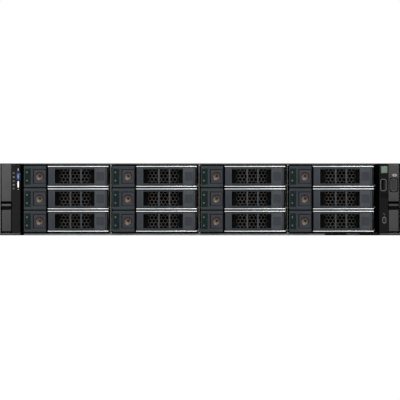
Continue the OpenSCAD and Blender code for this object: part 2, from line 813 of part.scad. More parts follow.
module right_ear() {
    on_rack_plane() {
        color("gray") ear_bracket();
        color("dimgray") difference() {
            ear_front();
            span([power_x - power_w / 2 - run_gap, -30, power_z - power_h / 2 - run_gap],
                [power_x + power_w / 2 + run_gap, strip_y + 5, power_z + power_h / 2 + run_gap]);
            translate([usb_x, 0, usb_z]) span([-usb_w / 2 - part_gap, -30, -usb_h / 2 - part_gap],
                [usb_w / 2 + part_gap, strip_y + usb_d, usb_h / 2 + part_gap]);
            translate([vga_x, 0, vga_z]) span([-5.2, -30, -8.9], [5.2, -ear_reach + 3, 8.9]);
            span([ear_in + 1, -30, 45.2], [strip_out - 0.3, strip_y + 1, 50.9]);
            translate([service_x, 0, service_z]) span([-2.2, -30, -4.4], [2.2, strip_y + 2, 4.4]);
        }
        color("silver") port_shell([usb_x, usb_z], usb_w, usb_h, strip_y - 0.4, strip_y + usb_d - part_gap,
            usb_d - 2, 1);
        color("silver") port_shell([vga_x, vga_z], 9.8, 17, -ear_reach - 0.4, -ear_reach + 2.9, 1.6, 1.2);
        color("silver") port_shell([service_x, service_z], 4, 8.4, strip_y - 0.3, strip_y + 1.9, 1.2, 0.8);
    }
}

// The metal shell of a socket, with a core of the given share inside
module port_shell(at, w, h, y0, y1, depth, wall) {
    translate([at[0], 0, at[1]]) difference() {
        span([-w / 2, y0, -h / 2], [w / 2, y1, h / 2]);
        span([-w / 2 + wall, y0 - 1, -h / 2 + wall], [w / 2 - wall, y0 + depth, h / 2 - wall]);
    }
}

// The sprung latch plate with its finger lip and the arm behind it
module ear_latch() {
    x0 = plate_in + run_gap;
    x1 = plate_out - run_gap;
    plate_y = -ear_reach + 2;
    union() {
        span([x0, plate_y, latch_bottom], [x1, plate_y + 2.5, latch_top]);
        span([x0, -front_reach, latch_top - latch_lip], [x1, plate_y + 1, latch_top]);
        span([x0 + 3, plate_y + 2, 18], [x1 - 3, ear_plate_t + 8, 26]);
        span([x0 + 3, 5, 18], [x1 - 3, ear_plate_t + 8, 29]);
    }
}

module left_latch() {
    color("gray") on_rack_plane() mirror([1, 0, 0]) ear_latch();
}

module right_latch() {
    color("gray") on_rack_plane() ear_latch();
}

module power_button() {
    color("darkseagreen") on_rack_plane()
        span([power_x - power_w / 2, strip_y - 0.4, power_z - power_h / 2],
            [power_x + power_w / 2, strip_y + 3.4, power_z + power_h / 2]);
}

module id_button() {
    color("royalblue") on_rack_plane() translate([-id_x, 0, id_z])
        capsule(id_w, id_h, strip_y - 0.4, strip_y + 3.4);
}

module info_tag() {
    card_z = sheet + run_gap;
    card_t = tag_space - 2 * run_gap;
    grip_l = tag_r - tag_w + 25.5;
    color("black") on_rack_plane() {
        span([tag_r - tag_w, front_y - 0.2, card_z], [tag_r, front_y + tag_d, card_z + card_t]);
        span([tag_r - tag_w, front_y - 2.4, 0.6], [tag_r, front_y - run_gap, cage_z]);
        span([grip_l, front_y - 3.2, 0.6], [grip_l + 15.2, front_y - 2.2, cage_z]);
    }
}

// ---- Output ----

chassis_base();
drive_cage();
front_cover();
rear_cover();
cover_latch();
backplane();
main_board();
slot_covers();
screws();
fan_frames();
for (i = [0:fans - 1]) fan_rotor(i);
for (i = [0:psus - 1]) psu(i);
for (i = [0:psus - 1]) psu_latch(i);
left_ear();
right_ear();
left_latch();
right_latch();
power_button();
id_button();
info_tag();
for (i = [0:bays - 1]) at_bay(i) tray();
for (i = [0:bays - 1]) at_bay(i) handle();
for (i = [0:bays - 1]) at_bay(i) button();
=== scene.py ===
"""Looks of a low rack-mount storage unit with drive bays in its front.

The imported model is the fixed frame. Pieces are modelled in millimetres, each in its own
sub-assembly class, and are placed from the frame's own nodes. Depths inside the classes are
measured from the face of the rack posts, with the front towards -Y.
"""

import json
import logging
import math
from collections import Counter
from dataclasses import dataclass, field, replace
from enum import Enum
from typing import Callable, Iterable, Optional, Sequence

import bmesh
import bpy
from mathutils import Matrix, Vector


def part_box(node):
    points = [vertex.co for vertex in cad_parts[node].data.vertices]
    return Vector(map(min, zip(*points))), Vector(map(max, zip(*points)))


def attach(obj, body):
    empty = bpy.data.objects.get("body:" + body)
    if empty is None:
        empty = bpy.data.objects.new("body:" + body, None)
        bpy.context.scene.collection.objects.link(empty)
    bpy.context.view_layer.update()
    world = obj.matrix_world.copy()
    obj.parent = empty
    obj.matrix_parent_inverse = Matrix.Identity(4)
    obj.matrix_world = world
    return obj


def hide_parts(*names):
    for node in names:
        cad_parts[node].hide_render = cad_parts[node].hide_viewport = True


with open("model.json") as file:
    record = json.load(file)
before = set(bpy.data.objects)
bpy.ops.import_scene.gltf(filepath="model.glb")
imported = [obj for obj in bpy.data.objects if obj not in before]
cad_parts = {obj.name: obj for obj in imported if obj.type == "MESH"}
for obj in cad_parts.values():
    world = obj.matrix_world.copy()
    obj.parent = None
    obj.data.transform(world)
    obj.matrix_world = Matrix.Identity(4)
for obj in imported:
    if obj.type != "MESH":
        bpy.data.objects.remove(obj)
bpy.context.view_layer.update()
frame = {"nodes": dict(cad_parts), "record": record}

log = logging.getLogger("storage_unit")
MM = 0.001
Point = Sequence[float]
Pair = tuple[float, float]
Colour = Triple = tuple[float, float, float]
Corners = tuple[Vector, Vector]
Socket = bpy.types.NodeSocket
MOUNTS = {m["name"]: m for m in frame["record"]["mounts"]}
RACK_Y = MOUNTS["left_ear_back"]["pos_m"][1] / MM
CHASSIS = "chassis"


def put_in_scene(name: str, data: bpy.types.ID) -> bpy.types.Object:
    """Makes an object and puts it in the scene.

    Args:
        name: Its name.
        data: Its mesh, light or camera.

    Returns:
        The object.
    """
    item = bpy.data.objects.new(name, data)
    bpy.context.scene.collection.objects.link(item)
    return item


# ---- Shapes ----


class Axis(Enum):
    """A direction that a round shape lies along."""

    X = "x"
    Y = "y"
    Z = "z"

    def turn(self) -> Matrix:
        """Works out the turn that lays a shape made along Z on this axis.

        Returns:
            The turn's matrix.
        """
        if self is Axis.X:
            return Matrix.Rotation(math.pi / 2, 4, "Y")
        if self is Axis.Y:
            return Matrix.Rotation(-math.pi / 2, 4, "X")
        return Matrix.Identity(4)


class Shape:
    """A mesh in the making, in millimetres, built with bmesh operators.

    A face is shaded as a curve where the flat that it is part of is narrow and it bends a little
    into its neighbour, by an angle between the two of BEND. All others are shaded flat. A flat is
    narrow if its area is less than FLAT_FROM times its rim. Points nearer than JOIN are merged.
    """

    FLAT_FROM = 1.2
    BEND = (math.radians(0.5), math.radians(32))
    JOIN = 1e-4

    def __init__(self) -> None:
        """Starts with an empty mesh."""
        self.bm = bmesh.new()

    def box(self, low: Point, high: Point) -> "Shape":
        """Adds a box.

        Args:
            low: Its lowest corner.
            high: Its highest corner.

        Returns:
            This shape, so that calls can follow one another.
        """
        a, b = Vector(low), Vector(high)
        place = Matrix.Translation((a + b) / 2) @ Matrix.Diagonal((*(b - a), 1.0))
        bmesh.ops.create_cube(self.bm, size=1.0, matrix=place)
        return self

    def rod(
        self,
        start: Point,
        axis: Axis,
        radius: float,
        length: float,
        sides: int = 32,
        tip: Optional[float] = None,
    ) -> "Shape":
        """Adds a round bar, or a cone where its tip has another radius.

        Args:
            start: The centre of its first end.
            axis: The direction that it runs in.
            radius: Its radius at the start.
            length: Its length.
            sides: How many flat sides it has.
            tip: Its radius at the far end, the same as at the start if left out.

        Returns:
            This shape.
        """
        place = Matrix.Translation(start) @ axis.turn() @ Matrix.Translation((0, 0, length / 2))
        bmesh.ops.create_cone(
            self.bm,
            cap_ends=True,
            cap_tris=False,
            segments=sides,
            radius1=radius,
            radius2=radius if tip is None else tip,
            depth=length,
            matrix=place,
        )
        return self

    def turned(self, outline: Sequence[Pair], centre: Point, sides: int = 40) -> "Shape":
        """Adds a round shape spun about a line along Y.

        Args:
            outline: Its half section, each point (radius, depth along Y), closed on itself.
            centre: The point on the line where the depth is zero.
            sides: How many steps the spin takes.

        Returns:
            This shape.
        """
        part = bmesh.new()
        points = [part.verts.new((r, y, 0.0)) for r, y in outline]
        ring = [part.edges.new((points[i - 1], points[i])) for i in range(len(points))]
        bmesh.ops.spin(
            part,
            geom=points + ring,
            cent=(0, 0, 0),
            axis=(0, 1, 0),
            angle=math.tau,
            steps=sides,
            use_merge=True,
            use_duplicate=False,
        )
        bmesh.ops.remove_doubles(part, verts=part.verts, dist=self.JOIN)
        bmesh.ops.recalc_face_normals(part, faces=part.faces)
        bmesh.ops.translate(part, verts=part.verts, vec=centre)
        self.take(part)
        return self

    def plate(self, outline: Iterable[Pair], y0: float, y1: float) -> "Shape":
        """Adds a flat plate that faces along Y.

        Args:
            outline: Its corners as (x, z), in order.
            y0: The depth of its front face.
            y1: The depth of its back face.

        Returns:
            This shape.
        """
        part = bmesh.new()
        face = part.faces.new([part.verts.new((x, y0, z)) for x, z in outline])
        grown = bmesh.ops.extrude_face_region(part, geom=[face])
        moved = [v for v in grown["geom"] if isinstance(v, bmesh.types.BMVert)]
        bmesh.ops.translate(part, verts=moved, vec=(0, y1 - y0, 0))
        bmesh.ops.recalc_face_normals(part, faces=part.faces)
        self.take(part)
        return self

    def take(self, part: bmesh.types.BMesh) -> None:
        """Moves another mesh into this one.

        Args:
            part: The mesh to take, which is freed.
        """
        data = bpy.data.meshes.new("part")
        part.to_mesh(data)
        part.free()
        self.bm.from_mesh(data)
        bpy.data.meshes.remove(data)

    def add(self, other: "Shape") -> "Shape":
        """Adds another shape, which is used up.

        Args:
            other: The shape to add.

        Returns:
            This shape.
        """
        self.take(other.bm)
        return self

    def repeated(self, offsets: Iterable[Point]) -> "Shape":
        """Copies the whole shape to each of some places, and drops the one it started as.

        Args:
            offsets: How far each copy lies from the first.

        Returns:
            This shape.
        """
        first = list(self.bm.verts) + list(self.bm.edges) + list(self.bm.faces)
        for offset in offsets:
            copy = bmesh.ops.duplicate(self.bm, geom=first)
            moved = [v for v in copy["geom"] if isinstance(v, bmesh.types.BMVert)]
            bmesh.ops.translate(self.bm, verts=moved, vec=offset)
        old = [v for v in first if isinstance(v, bmesh.types.BMVert)]
        bmesh.ops.delete(self.bm, geom=old, context="VERTS")
        return self

    def turn(self, angle: float, axis: Axis, centre: Point = (0, 0, 0)) -> "Shape":
        """Turns the whole shape.

        Args:
            angle: The angle in degrees.
            axis: The axis that it turns about.
            centre: A point on that axis.

        Returns:
            This shape.
        """
        spin = Matrix.Rotation(math.radians(angle), 3, axis.name)
        bmesh.ops.rotate(self.bm, verts=self.bm.verts, cent=centre, matrix=spin)
        return self

    def carve(self, cutter: "Shape") -> "Shape":
        """Cuts another shape out of this one.

        Args:
            cutter: The shape to take away, which is used up.

        Returns:
            This shape.
        """
        block = put_in_scene("block", self.mesh("block"))
        tool = put_in_scene("tool", cutter.mesh("tool"))
        cut = block.modifiers.new("cut", "BOOLEAN")
        cut.object = tool
        cut.operation = "DIFFERENCE"
        cut.solver = "EXACT"
        shown = block.evaluated_get(bpy.context.evaluated_depsgraph_get())
        result = bpy.data.meshes.new_from_object(shown)
        self.bm = bmesh.new()
        self.bm.from_mesh(result)
        meshes = [block.data, tool.data, result]
        for item in (block, tool):
            bpy.data.objects.remove(item)
        for data in meshes:
            bpy.data.meshes.remove(data)
        return self

    def rounded(self, width: float, segments: int = 2, angle: float = 40.0) -> "Shape":
        """Rounds every edge that is sharper than an angle.

        Args:
            width: How far the rounding reaches from the edge.
            segments: How many strips it has.
            angle: The angle in degrees from which an edge counts as sharp.

        Returns:
            This shape.
        """
        limit = math.radians(angle)
        bmesh.ops.remove_doubles(self.bm, verts=self.bm.verts, dist=self.JOIN)
        sharp = [e for e in self.bm.edges if len(e.link_faces) == 2 and e.calc_face_angle(0.0) > limit]
        bmesh.ops.bevel(
            self.bm,
            geom=sharp,
            affect="EDGES",
            offset=width,
            offset_type="OFFSET",
            segments=segments,
            profile=0.5,
            material=-1,
            clamp_overlap=True,
        )
        return self

    def flats(self) -> list[list[bmesh.types.BMFace]]:
        """Groups the faces that lie in one plane and share edges.

        Returns:
            The faces of each flat.
        """
        groups = []
        seen = set()
        for first in self.bm.faces:
            if first in seen:
                continue
            seen.add(first)
            group = [first]
            for face in group:
                for edge in face.edges:
                    if len(edge.link_faces) == 2 and edge.calc_face_angle(math.pi) <= self.BEND[0]:
                        found = [other for other in edge.link_faces if other not in seen]
                        seen.update(found)
                        group.extend(found)
            groups.append(group)
        return groups

    def mesh(self, name: str) -> bpy.types.Mesh:
        """Turns the shape into mesh data, still in millimetres, and frees it.

        Args:
            name: The name of the mesh data.

        Returns:
            The mesh data.
        """
        data = bpy.data.meshes.new(name)
        self.bm.normal_update()
        for edge in self.bm.edges:
            edge.tag = len(edge.link_faces) == 2 and self.BEND[0] < edge.calc_face_angle(0.0) < self.BEND[1]
        for group in self.flats():
            sides = Counter(edge for face in group for edge in face.edges)
            rim = sum(edge.calc_length() for edge, uses in sides.items() if uses == 1)
            narrow = sum(face.calc_area() for face in group) < self.FLAT_FROM * rim
            for face in group:
                face.smooth = narrow and any(edge.tag for edge in face.edges)
        self.bm.to_mesh(data)
        self.bm.free()
        # A copied mesh brings its old normals along, which no longer fit its new faces
        kept_normals = data.attributes.get("custom_normal")
        if kept_normals:
            data.attributes.remove(kept_normals)
        return data


def round_rect(width: float, height: float, radius: float, steps: int = 5) -> list[Pair]:
    """Works out the outline of a rectangle with round corners, centred on zero.

    Args:
        width: Its size along X.
        height: Its size along Z.
        radius: The radius of its corners.
        steps: How many points each corner has, less one.

    Returns:
        Its corners as (x, z), in order.
    """
    points = []
    corners = ((1, 1, 0), (-1, 1, 90), (-1, -1, 180), (1, -1, 270))
    for sx, sz, start in corners:
        cx, cz = sx * (width / 2 - radius), sz * (height / 2 - radius)
        for k in range(steps + 1):
            a = math.radians(start + 90 * k / steps)
            points.append((cx + radius * math.cos(a), cz + radius * math.sin(a)))
    return points


def shifted(outline: Iterable[Pair], dx: float, dz: float) -> list[Pair]:
    """Moves an outline.

    Args:
        outline: Its corners as (x, z).
        dx: How far it moves along X.
        dz: How far it moves along Z.

    Returns:
        The moved corners.
    """
    return [(x + dx, z + dz) for x, z in outline]


# ---- Finishes ----


class Graph:
    """A material's node tree, with short ways to add the nodes that the finishes use."""

    def __init__(self, name: str) -> None:
        """Starts a material with one shader.

        Args:
            name: The material's name.
        """
        self.material = bpy.data.materials.new(name)
        self.material.use_nodes = True
        self.tree = self.material.node_tree
        self.shader = self.tree.nodes["Principled BSDF"]
        self.place = self.tree.nodes.new("ShaderNodeTexCoord").outputs["Object"]

    def link(self, output: Socket, socket: Socket) -> None:
        """Joins an output to an input."""
        self.tree.links.new(output, socket)

    def feed(self, name: str, output: Socket) -> None:
        """Joins an output to one of the shader's inputs."""
        self.link(output, self.shader.inputs[name])

    def stretched(self, stretch: Point) -> Socket:
        """Scales the object's coordinates by a factor along each axis.

        Args:
            stretch: The factors.

        Returns:
            The scaled coordinates.
        """
        mapping = self.tree.nodes.new("ShaderNodeMapping")
        mapping.inputs["Scale"].default_value = stretch
        self.link(self.place, mapping.inputs["Vector"])
        return mapping.outputs["Vector"]

    def noise(self, scale: float, detail: float = 3.0, stretch: Point = (1, 1, 1)) -> Socket:
        """Adds a noise pattern.

        Args:
            scale: Its scale, in cells per metre.
            detail: How many finer layers it has.
            stretch: How much it is squeezed along each axis.

        Returns:
            Its value.
        """
        node = self.tree.nodes.new("ShaderNodeTexNoise")
        node.inputs["Scale"].default_value = scale
        node.inputs["Detail"].default_value = detail
        self.link(self.stretched(stretch), node.inputs["Vector"])
        return node.outputs["Fac"]

    def cells(self, scale: float) -> Socket:
        """Adds a pattern of flat cells, each with its own value.

        Args:
            scale: Its scale, in cells per metre.

        Returns:
            The colour of each cell.
        """
        node = self.tree.nodes.new("ShaderNodeTexVoronoi")
        node.inputs["Scale"].default_value = scale
        self.link(self.place, node.inputs["Vector"])
        return node.outputs["Color"]

    def ramp(self, value: Socket, low: Point, high: Point, ends: Point = (0.3, 0.7)) -> Socket:
        """Turns a value into a colour between two others.

        Args:
            value: The value.
            low: The colour at and below the first end.
            high: The colour at and above the second.
            ends: The values of the two ends.

        Returns:
            The colour.
        """
        node = self.tree.nodes.new("ShaderNodeValToRGB")
        for element, at, colour in zip(node.color_ramp.elements, ends, (low, high)):
            element.position = at
            element.color = (*colour, 1.0)
        self.link(value, node.inputs["Fac"])
        return node.outputs["Color"]

    def spread(self, value: Socket, low: float, high: float) -> Socket:
        """Maps a pattern's usual values onto a range.

        Args:
            value: The pattern's value.
            low: The result where the pattern is low.
            high: The result where it is high.

        Returns:
            The mapped value.
        """
        node = self.tree.nodes.new("ShaderNodeMapRange")
        node.inputs["From Min"].default_value = 0.25
        node.inputs["From Max"].default_value = 0.75
        node.inputs["To Min"].default_value = low
        node.inputs["To Max"].default_value = high
        self.link(value, node.inputs["Value"])
        return node.outputs["Result"]

    def bump(self, value: Socket, depth: float, strength: float = 1.0) -> None:
        """Raises the surface by a pattern.

        Args:
            value: The pattern's value.
            depth: The height of the pattern, in metres.
            strength: How strongly it shows.
        """
        node = self.tree.nodes.new("ShaderNodeBump")
        node.inputs["Distance"].default_value = depth
        node.inputs["Strength"].default_value = strength
        self.link(value, node.inputs["Height"])
        self.link(node.outputs["Normal"], self.shader.inputs["Normal"])


def shade(colour: Point, factor: float) -> Colour:
    """Makes a colour darker or lighter by a factor."""
    return tuple(min(1.0, c * factor) for c in colour)


@dataclass(frozen=True)
class Finish:
    """How a surface looks: a base that every finish shares."""

    name: str
    slot: str
    colour: Colour
    roughness: float = 0.5

    def tones(self, change: float) -> tuple[Colour, Colour]:
        """Returns a darker and a lighter tone of the finish's colour."""
        return shade(self.colour, 1 - change), shade(self.colour, 1 + change)

    def dress(self, graph: Graph) -> None:
        """Adds the finish's own nodes.

        Args:
            graph: The node tree to add them to.
        """
        raise NotImplementedError

    def material(self) -> bpy.types.Material:
        """Finds the finish's material, which is made the first time it is asked for.

        Returns:
            The material.
        """
        known = bpy.data.materials.get(self.name)
        if known:
            return known
        graph = Graph(self.name)
        self.dress(graph)
        return graph.material


@dataclass(frozen=True)
class MouldedPlastic(Finish):
    """Injection-moulded plastic with a fine spark-eroded grain."""

    grain: float = 2600.0
    depth: float = 0.00003
    mottle: float = 0.12
    gloss: float = 0.5

    def dress(self, graph: Graph) -> None:
        """Adds slow colour changes, uneven gloss and the grain.

        Args:
            graph: The node tree to add them to.
        """
        cloud = graph.noise(70.0, 4.0)
        graph.feed("Base Color", graph.ramp(cloud, *self.tones(self.mottle)))
        gloss = graph.spread(graph.noise(400.0), self.roughness - 0.06, self.roughness + 0.08)
        graph.feed("Roughness", gloss)
        graph.shader.inputs["Specular IOR Level"].default_value = self.gloss
        graph.bump(graph.noise(self.grain, 2.0), self.depth, 0.6)


@dataclass(frozen=True)
class SheetMetal(Finish):
    """Rolled, plated or brushed sheet metal."""

    metallic: float = 1.0
    spangle: float = 0.0
    brushed: Triple = (1.0, 1.0, 1.0)
    depth: float = 0.00002
    wear: float = 0.08
    gloss: float = 0.5

    def dress(self, graph: Graph) -> None:
        """Adds the metal's crystals or brush lines, handling marks and uneven gloss.

        Args:
            graph: The node tree to add them to.
        """
        lines = graph.noise(900.0, 3.0, self.brushed)
        if self.spangle > 0:
            tint = graph.ramp(graph.cells(160.0), *self.tones(self.spangle), (0.1, 0.9))
        else:
            tint = graph.ramp(lines, *self.tones(self.wear))
        graph.feed("Base Color", tint)
        graph.shader.inputs["Metallic"].default_value = self.metallic
        graph.shader.inputs["Specular IOR Level"].default_value = self.gloss
        smudge = graph.noise(24.0, 5.0)
        graph.feed("Roughness", graph.spread(smudge, self.roughness - 0.07, self.roughness + 0.1))
        graph.bump(lines, self.depth, 0.5)


@dataclass(frozen=True)
class SmokedLens(Finish):
    """Smoked clear plastic over a dark light pipe."""

    gloss: float = 0.08

    def dress(self, graph: Graph) -> None:
        """Adds a faint cloudiness under a smooth, glossy top.

        Args:
            graph: The node tree to add them to.
        """
        cloud = graph.noise(300.0, 3.0)
        graph.feed("Base Color", graph.ramp(cloud, shade(self.colour, 0.75), shade(self.colour, 1.3)))
        graph.feed("Roughness", graph.spread(cloud, self.roughness, self.roughness + 0.1))
        graph.shader.inputs["Specular IOR Level"].default_value = self.gloss


@dataclass(frozen=True)
class LitLens(Finish):
    """A small lens with a lamp behind it, brightest in its middle."""

    edge: Colour = (0.0, 0.0, 0.0)
    glow: float = 0.5
    across: Pair = (0.0, 0.0)
    reach: Pair = (1.0, 1.0)

    def dress(self, graph: Graph) -> None:
        """Adds a glow that fades from the lens's middle to its edges.

        Args:
            graph: The node tree to add them to.
        """
        offset = graph.tree.nodes.new("ShaderNodeMapping")
        wide, tall = self.reach
        offset.inputs["Scale"].default_value = (1 / wide, 0.0, 1 / tall)
        offset.inputs["Location"].default_value = (-self.across[0] / wide, 0.0, -self.across[1] / tall)
        graph.link(graph.place, offset.inputs["Vector"])
        far = graph.tree.nodes.new("ShaderNodeVectorMath")
        far.operation = "LENGTH"
        graph.link(offset.outputs["Vector"], far.inputs[0])
        tint = graph.ramp(far.outputs["Value"], self.colour, self.edge, (0.15, 1.0))
        graph.feed("Base Color", tint)
        graph.feed("Emission Color", tint)
        graph.shader.inputs["Emission Strength"].default_value = self.glow
        graph.feed("Roughness", graph.spread(graph.noise(500.0), self.roughness, self.roughness + 0.1))


@dataclass(frozen=True)
class BoardMask(Finish):
    """A circuit board's solder mask with buried copper tracks."""

    def dress(self, graph: Graph) -> None:
        """Adds tracks as fine lines that are a little lighter and stand proud.

        Args:
            graph: The node tree to add them to.
        """
        tracks = graph.tree.nodes.new("ShaderNodeTexBrick")
        tracks.inputs["Scale"].default_value = 260.0
        tracks.inputs["Mortar Size"].default_value = 0.03
        tracks.inputs["Color1"].default_value = (*shade(self.colour, 0.8), 1)
        tracks.inputs["Color2"].default_value = (*self.colour, 1)
        tracks.inputs["Mortar"].default_value = (*shade(self.colour, 1.9), 1)
        graph.link(graph.place, tracks.inputs["Vector"])
        graph.feed("Base Color", tracks.outputs["Color"])
        gloss = graph.spread(graph.noise(200.0), self.roughness - 0.05, self.roughness + 0.1)
        graph.feed("Roughness", gloss)
        graph.bump(tracks.outputs["Fac"], 0.00004, 0.5)


BRIGHT_STEEL = SheetMetal(
    "bright_pressed_steel", "tray_steel", (0.60, 0.61, 0.62), 0.34, brushed=(0.05, 1.0, 1.0), wear=0.06)
RAIL_STEEL = SheetMetal(
    "rail_steel", "tray_steel", (0.34, 0.345, 0.35), 0.5, metallic=0.35, wear=0.08, gloss=0.3)
# Black grille plate: partly the grille's own black paint, partly painted shade where the plain ends of the
# window lie in shadow.
GRILLE_BLACK_AND_SHADE = SheetMetal(
    "blackened_grille", "dark_plastic", (0.001, 0.0015, 0.0018), 0.55, metallic=0.0, wear=0.2, gloss=0.06)
# Painted highlight: lighter rims where the light catches the edges of the grille's cells.
CELL_EDGE_HIGHLIGHT = SheetMetal(
    "grille_cell_edges", "dark_plastic", (0.072, 0.066, 0.059), 0.45, metallic=0.3, wear=0.25, gloss=0.2)
CAST_METAL = SheetMetal(
    "drive_casting", "tray_steel", (0.24, 0.245, 0.25), 0.55, metallic=0.4, wear=0.1, gloss=0.3)
LID_METAL = SheetMetal(
    "drive_lid", "tray_steel", (0.42, 0.425, 0.43), 0.42,
    metallic=0.5, brushed=(1.0, 0.04, 1.0), wear=0.05, gloss=0.3)
HOUSING_PLASTIC = MouldedPlastic(
    "housing_plastic", "dark_plastic", (0.0202, 0.0259, 0.0305), 0.5, gloss=0.25)
GRIP_PLASTIC = MouldedPlastic("handle_plastic", "grip_plastic", (0.023, 0.0274, 0.0336), 0.42, gloss=0.25)
# Painted highlight: a lighter copy of the handle plastic for the ribs, the edges and the flat by the hinge.
GRIP_HIGHLIGHT = MouldedPlastic(
    "grip_light_plastic", "grip_plastic", (0.0404, 0.0475, 0.0531), 0.42, gloss=0.25)
# Painted shade: a dark copy of the handle plastic for the barrel, where it curves away from the front.
GRIP_BARREL_SHADE = MouldedPlastic("grip_dark_plastic", "grip_plastic", (0.0075, 0.0075, 0.0085), 0.6, gloss=0.1)
# Painted shade: a darker copy of the handle plastic for the strips above and below the windows.
GRIP_SHADE = MouldedPlastic(
    "grip_shade_plastic", "grip_plastic", (0.0105, 0.0155, 0.018), 0.5, gloss=0.25)
PAD_PLASTIC = MouldedPlastic("pad_plastic", "dark_plastic", (0.023, 0.023, 0.0305), 0.45, gloss=0.25)
PATCH_PLASTIC = MouldedPlastic("label_patch", "grip_plastic", (0.026, 0.027, 0.034), 0.55, gloss=0.25)
COPPER = SheetMetal(
    "ring_copper", "copper_ring", (0.135, 0.105, 0.082), 0.36, metallic=0.25, wear=0.15, gloss=0.35)
# Painted shadow: dark brown for the floor of the button's dish and the ring's hole, where shade falls.
HOLE_AND_DISH_SHADOW = MouldedPlastic("ring_hole", "copper_ring", (0.03, 0.018, 0.01), 0.6, gloss=0.1)
SMOKED = SmokedLens("smoked_strip", "light_strip", (0.0045, 0.0125, 0.0115), 0.3)
DOT = LitLens(
    "status_dot", "light_strip", (0.05, 0.085, 0.062), 0.4, edge=(0.05, 0.085, 0.062), glow=0.25)
EAR_PAINT_LEFT = MouldedPlastic(
    "ear_paint_left", "ear_paint", (0.0589, 0.0589, 0.0595), 0.5, mottle=0.06, gloss=0.25)
LATCH_PAINT_LEFT = replace(EAR_PAINT_LEFT, name="latch_paint_left", colour=(0.0421, 0.0421, 0.0425))
RIM_PAINT_LEFT = replace(EAR_PAINT_LEFT, name="rim_paint_left", colour=(0.1045, 0.1045, 0.1045))
# Painted highlight: the left latch's lip is lighter than the ear, where it catches the light.
LIP_HIGHLIGHT_LEFT = replace(EAR_PAINT_LEFT, name="lip_paint_left", colour=(0.0693, 0.0693, 0.0693))
EAR_PAINT_RIGHT = replace(
    EAR_PAINT_LEFT, name="ear_paint_right", colour=(0.0404, 0.0404, 0.041), mottle=0.08)
LATCH_PAINT_RIGHT = replace(EAR_PAINT_LEFT, name="latch_paint_right", colour=(0.0386, 0.0386, 0.039))
LIP_PAINT_RIGHT = replace(EAR_PAINT_LEFT, name="lip_paint_right", colour=(0.0289, 0.0289, 0.0289))
EAR_STEEL = SheetMetal("ear_bracket_steel", "ear_paint", (0.23, 0.23, 0.235), 0.45, metallic=0.6)
STRIP_LEFT = MouldedPlastic(
    "control_strip_left", "dark_plastic", (0.0071, 0.0071, 0.0075), 0.3, gloss=0.1, grain=900.0)
STRIP_RIGHT = replace(STRIP_LEFT, name="control_strip_right", colour=(0.0022, 0.0022, 0.0023))
# Painted shadow: black for the band under the latch's lip and for the slot in the right strip.
SHADOW_BLACK = MouldedPlastic("recess_black", "dark_plastic", (0.003, 0.003, 0.003), 0.6, gloss=0.06)
# Painted shade: a black for the sheets and strips set where the gaps and hollows fall into shade.
SHADE_BLACK = MouldedPlastic("gap_black", "dark_plastic", (0.001, 0.001, 0.001), 0.8, gloss=0.0)
EDGE_STEEL = SheetMetal(
    "cover_edge_steel", "cover_steel", (0.09, 0.09, 0.093), 0.5, metallic=0.3, wear=0.1)
HEM_STEEL = SheetMetal("hem_steel", "galvanised_steel", (0.215, 0.22, 0.22), 0.5, metallic=0.3, wear=0.1)
FINGER_STEEL = SheetMetal(
    "finger_strip_steel", "galvanised_steel", (0.125, 0.125, 0.118),
    0.5, metallic=0.15, wear=0.15, gloss=0.2)
FINGER_TIPS = SheetMetal(
    "finger_tips", "galvanised_steel", (0.20, 0.20, 0.19), 0.4, metallic=0.5, wear=0.1)
SIGN_WHITE = MouldedPlastic("sign_white", "dark_plastic", (0.48, 0.48, 0.48), 0.5, mottle=0.03)
SIGN_PALE = replace(SIGN_WHITE, name="sign_pale", colour=(0.40, 0.38, 0.36))
SIGN_DIM = MouldedPlastic("sign_dim", "dark_plastic", (0.09, 0.09, 0.09), 0.5, mottle=0.05, gloss=0.25)
LAMP_PALE = replace(SIGN_DIM, name="lamp_pale", colour=(0.16, 0.16, 0.16))
ID_BLUE = LitLens(
    "id_lens", "id_blue", (0.24, 0.37, 0.80), 0.2, edge=(0.0015, 0.011, 0.05),
    glow=0.15, reach=(0.00095, 0.0038))
ID_SURROUND = MouldedPlastic("id_surround", "id_blue", (0.001, 0.008, 0.045), 0.4, gloss=0.2)
BAR_WHITE = LitLens(
    "bar_lens", "power_green", (1.0, 1.0, 1.0), 0.25,
    edge=(0.45, 0.45, 0.46), glow=0.6, reach=(0.0018, 0.0068))
POWER_GREEN = LitLens(
    "power_lens", "power_green", (0.095, 0.143, 0.102), 0.3,
    edge=(0.081, 0.121, 0.088), glow=0.25, reach=(0.008, 0.008))
PORT_STEEL = SheetMetal("port_shell", "screw_steel", (0.12, 0.12, 0.12), 0.35, wear=0.1, metallic=0.6)
PORT_DULL = SheetMetal(
    "port_shell_dull", "screw_steel", (0.105, 0.105, 0.105), 0.4, wear=0.1, metallic=0.4)
VIDEO_CORE = MouldedPlastic("video_core", "dark_plastic", (0.022, 0.022, 0.022), 0.5, gloss=0.25)
PORT_CORE = MouldedPlastic("port_core", "dark_plastic", (0.008, 0.008, 0.008), 0.5, gloss=0.1)
GALVANISED = SheetMetal(
    "galvanised_sheet", "galvanised_steel", (0.36, 0.37, 0.38), 0.5, spangle=0.12, metallic=0.35, gloss=0.3)
CAGE_STEEL = SheetMetal("cage_sheet", "galvanised_steel", (0.36, 0.355, 0.34), 0.42, spangle=0.08)
COVER_STEEL = SheetMetal(
    "cover_sheet", "cover_steel", (0.33, 0.335, 0.34), 0.55, spangle=0.07, metallic=0.3, gloss=0.3)
PLATED = SheetMetal(
    "plated_sheet", "slot_plate", (0.44, 0.45, 0.46), 0.42,
    metallic=0.5, gloss=0.3, brushed=(1.0, 1.0, 0.05))
SCREW_STEEL = SheetMetal("screw_plating", "screw_steel", (0.50, 0.51, 0.53), 0.28)
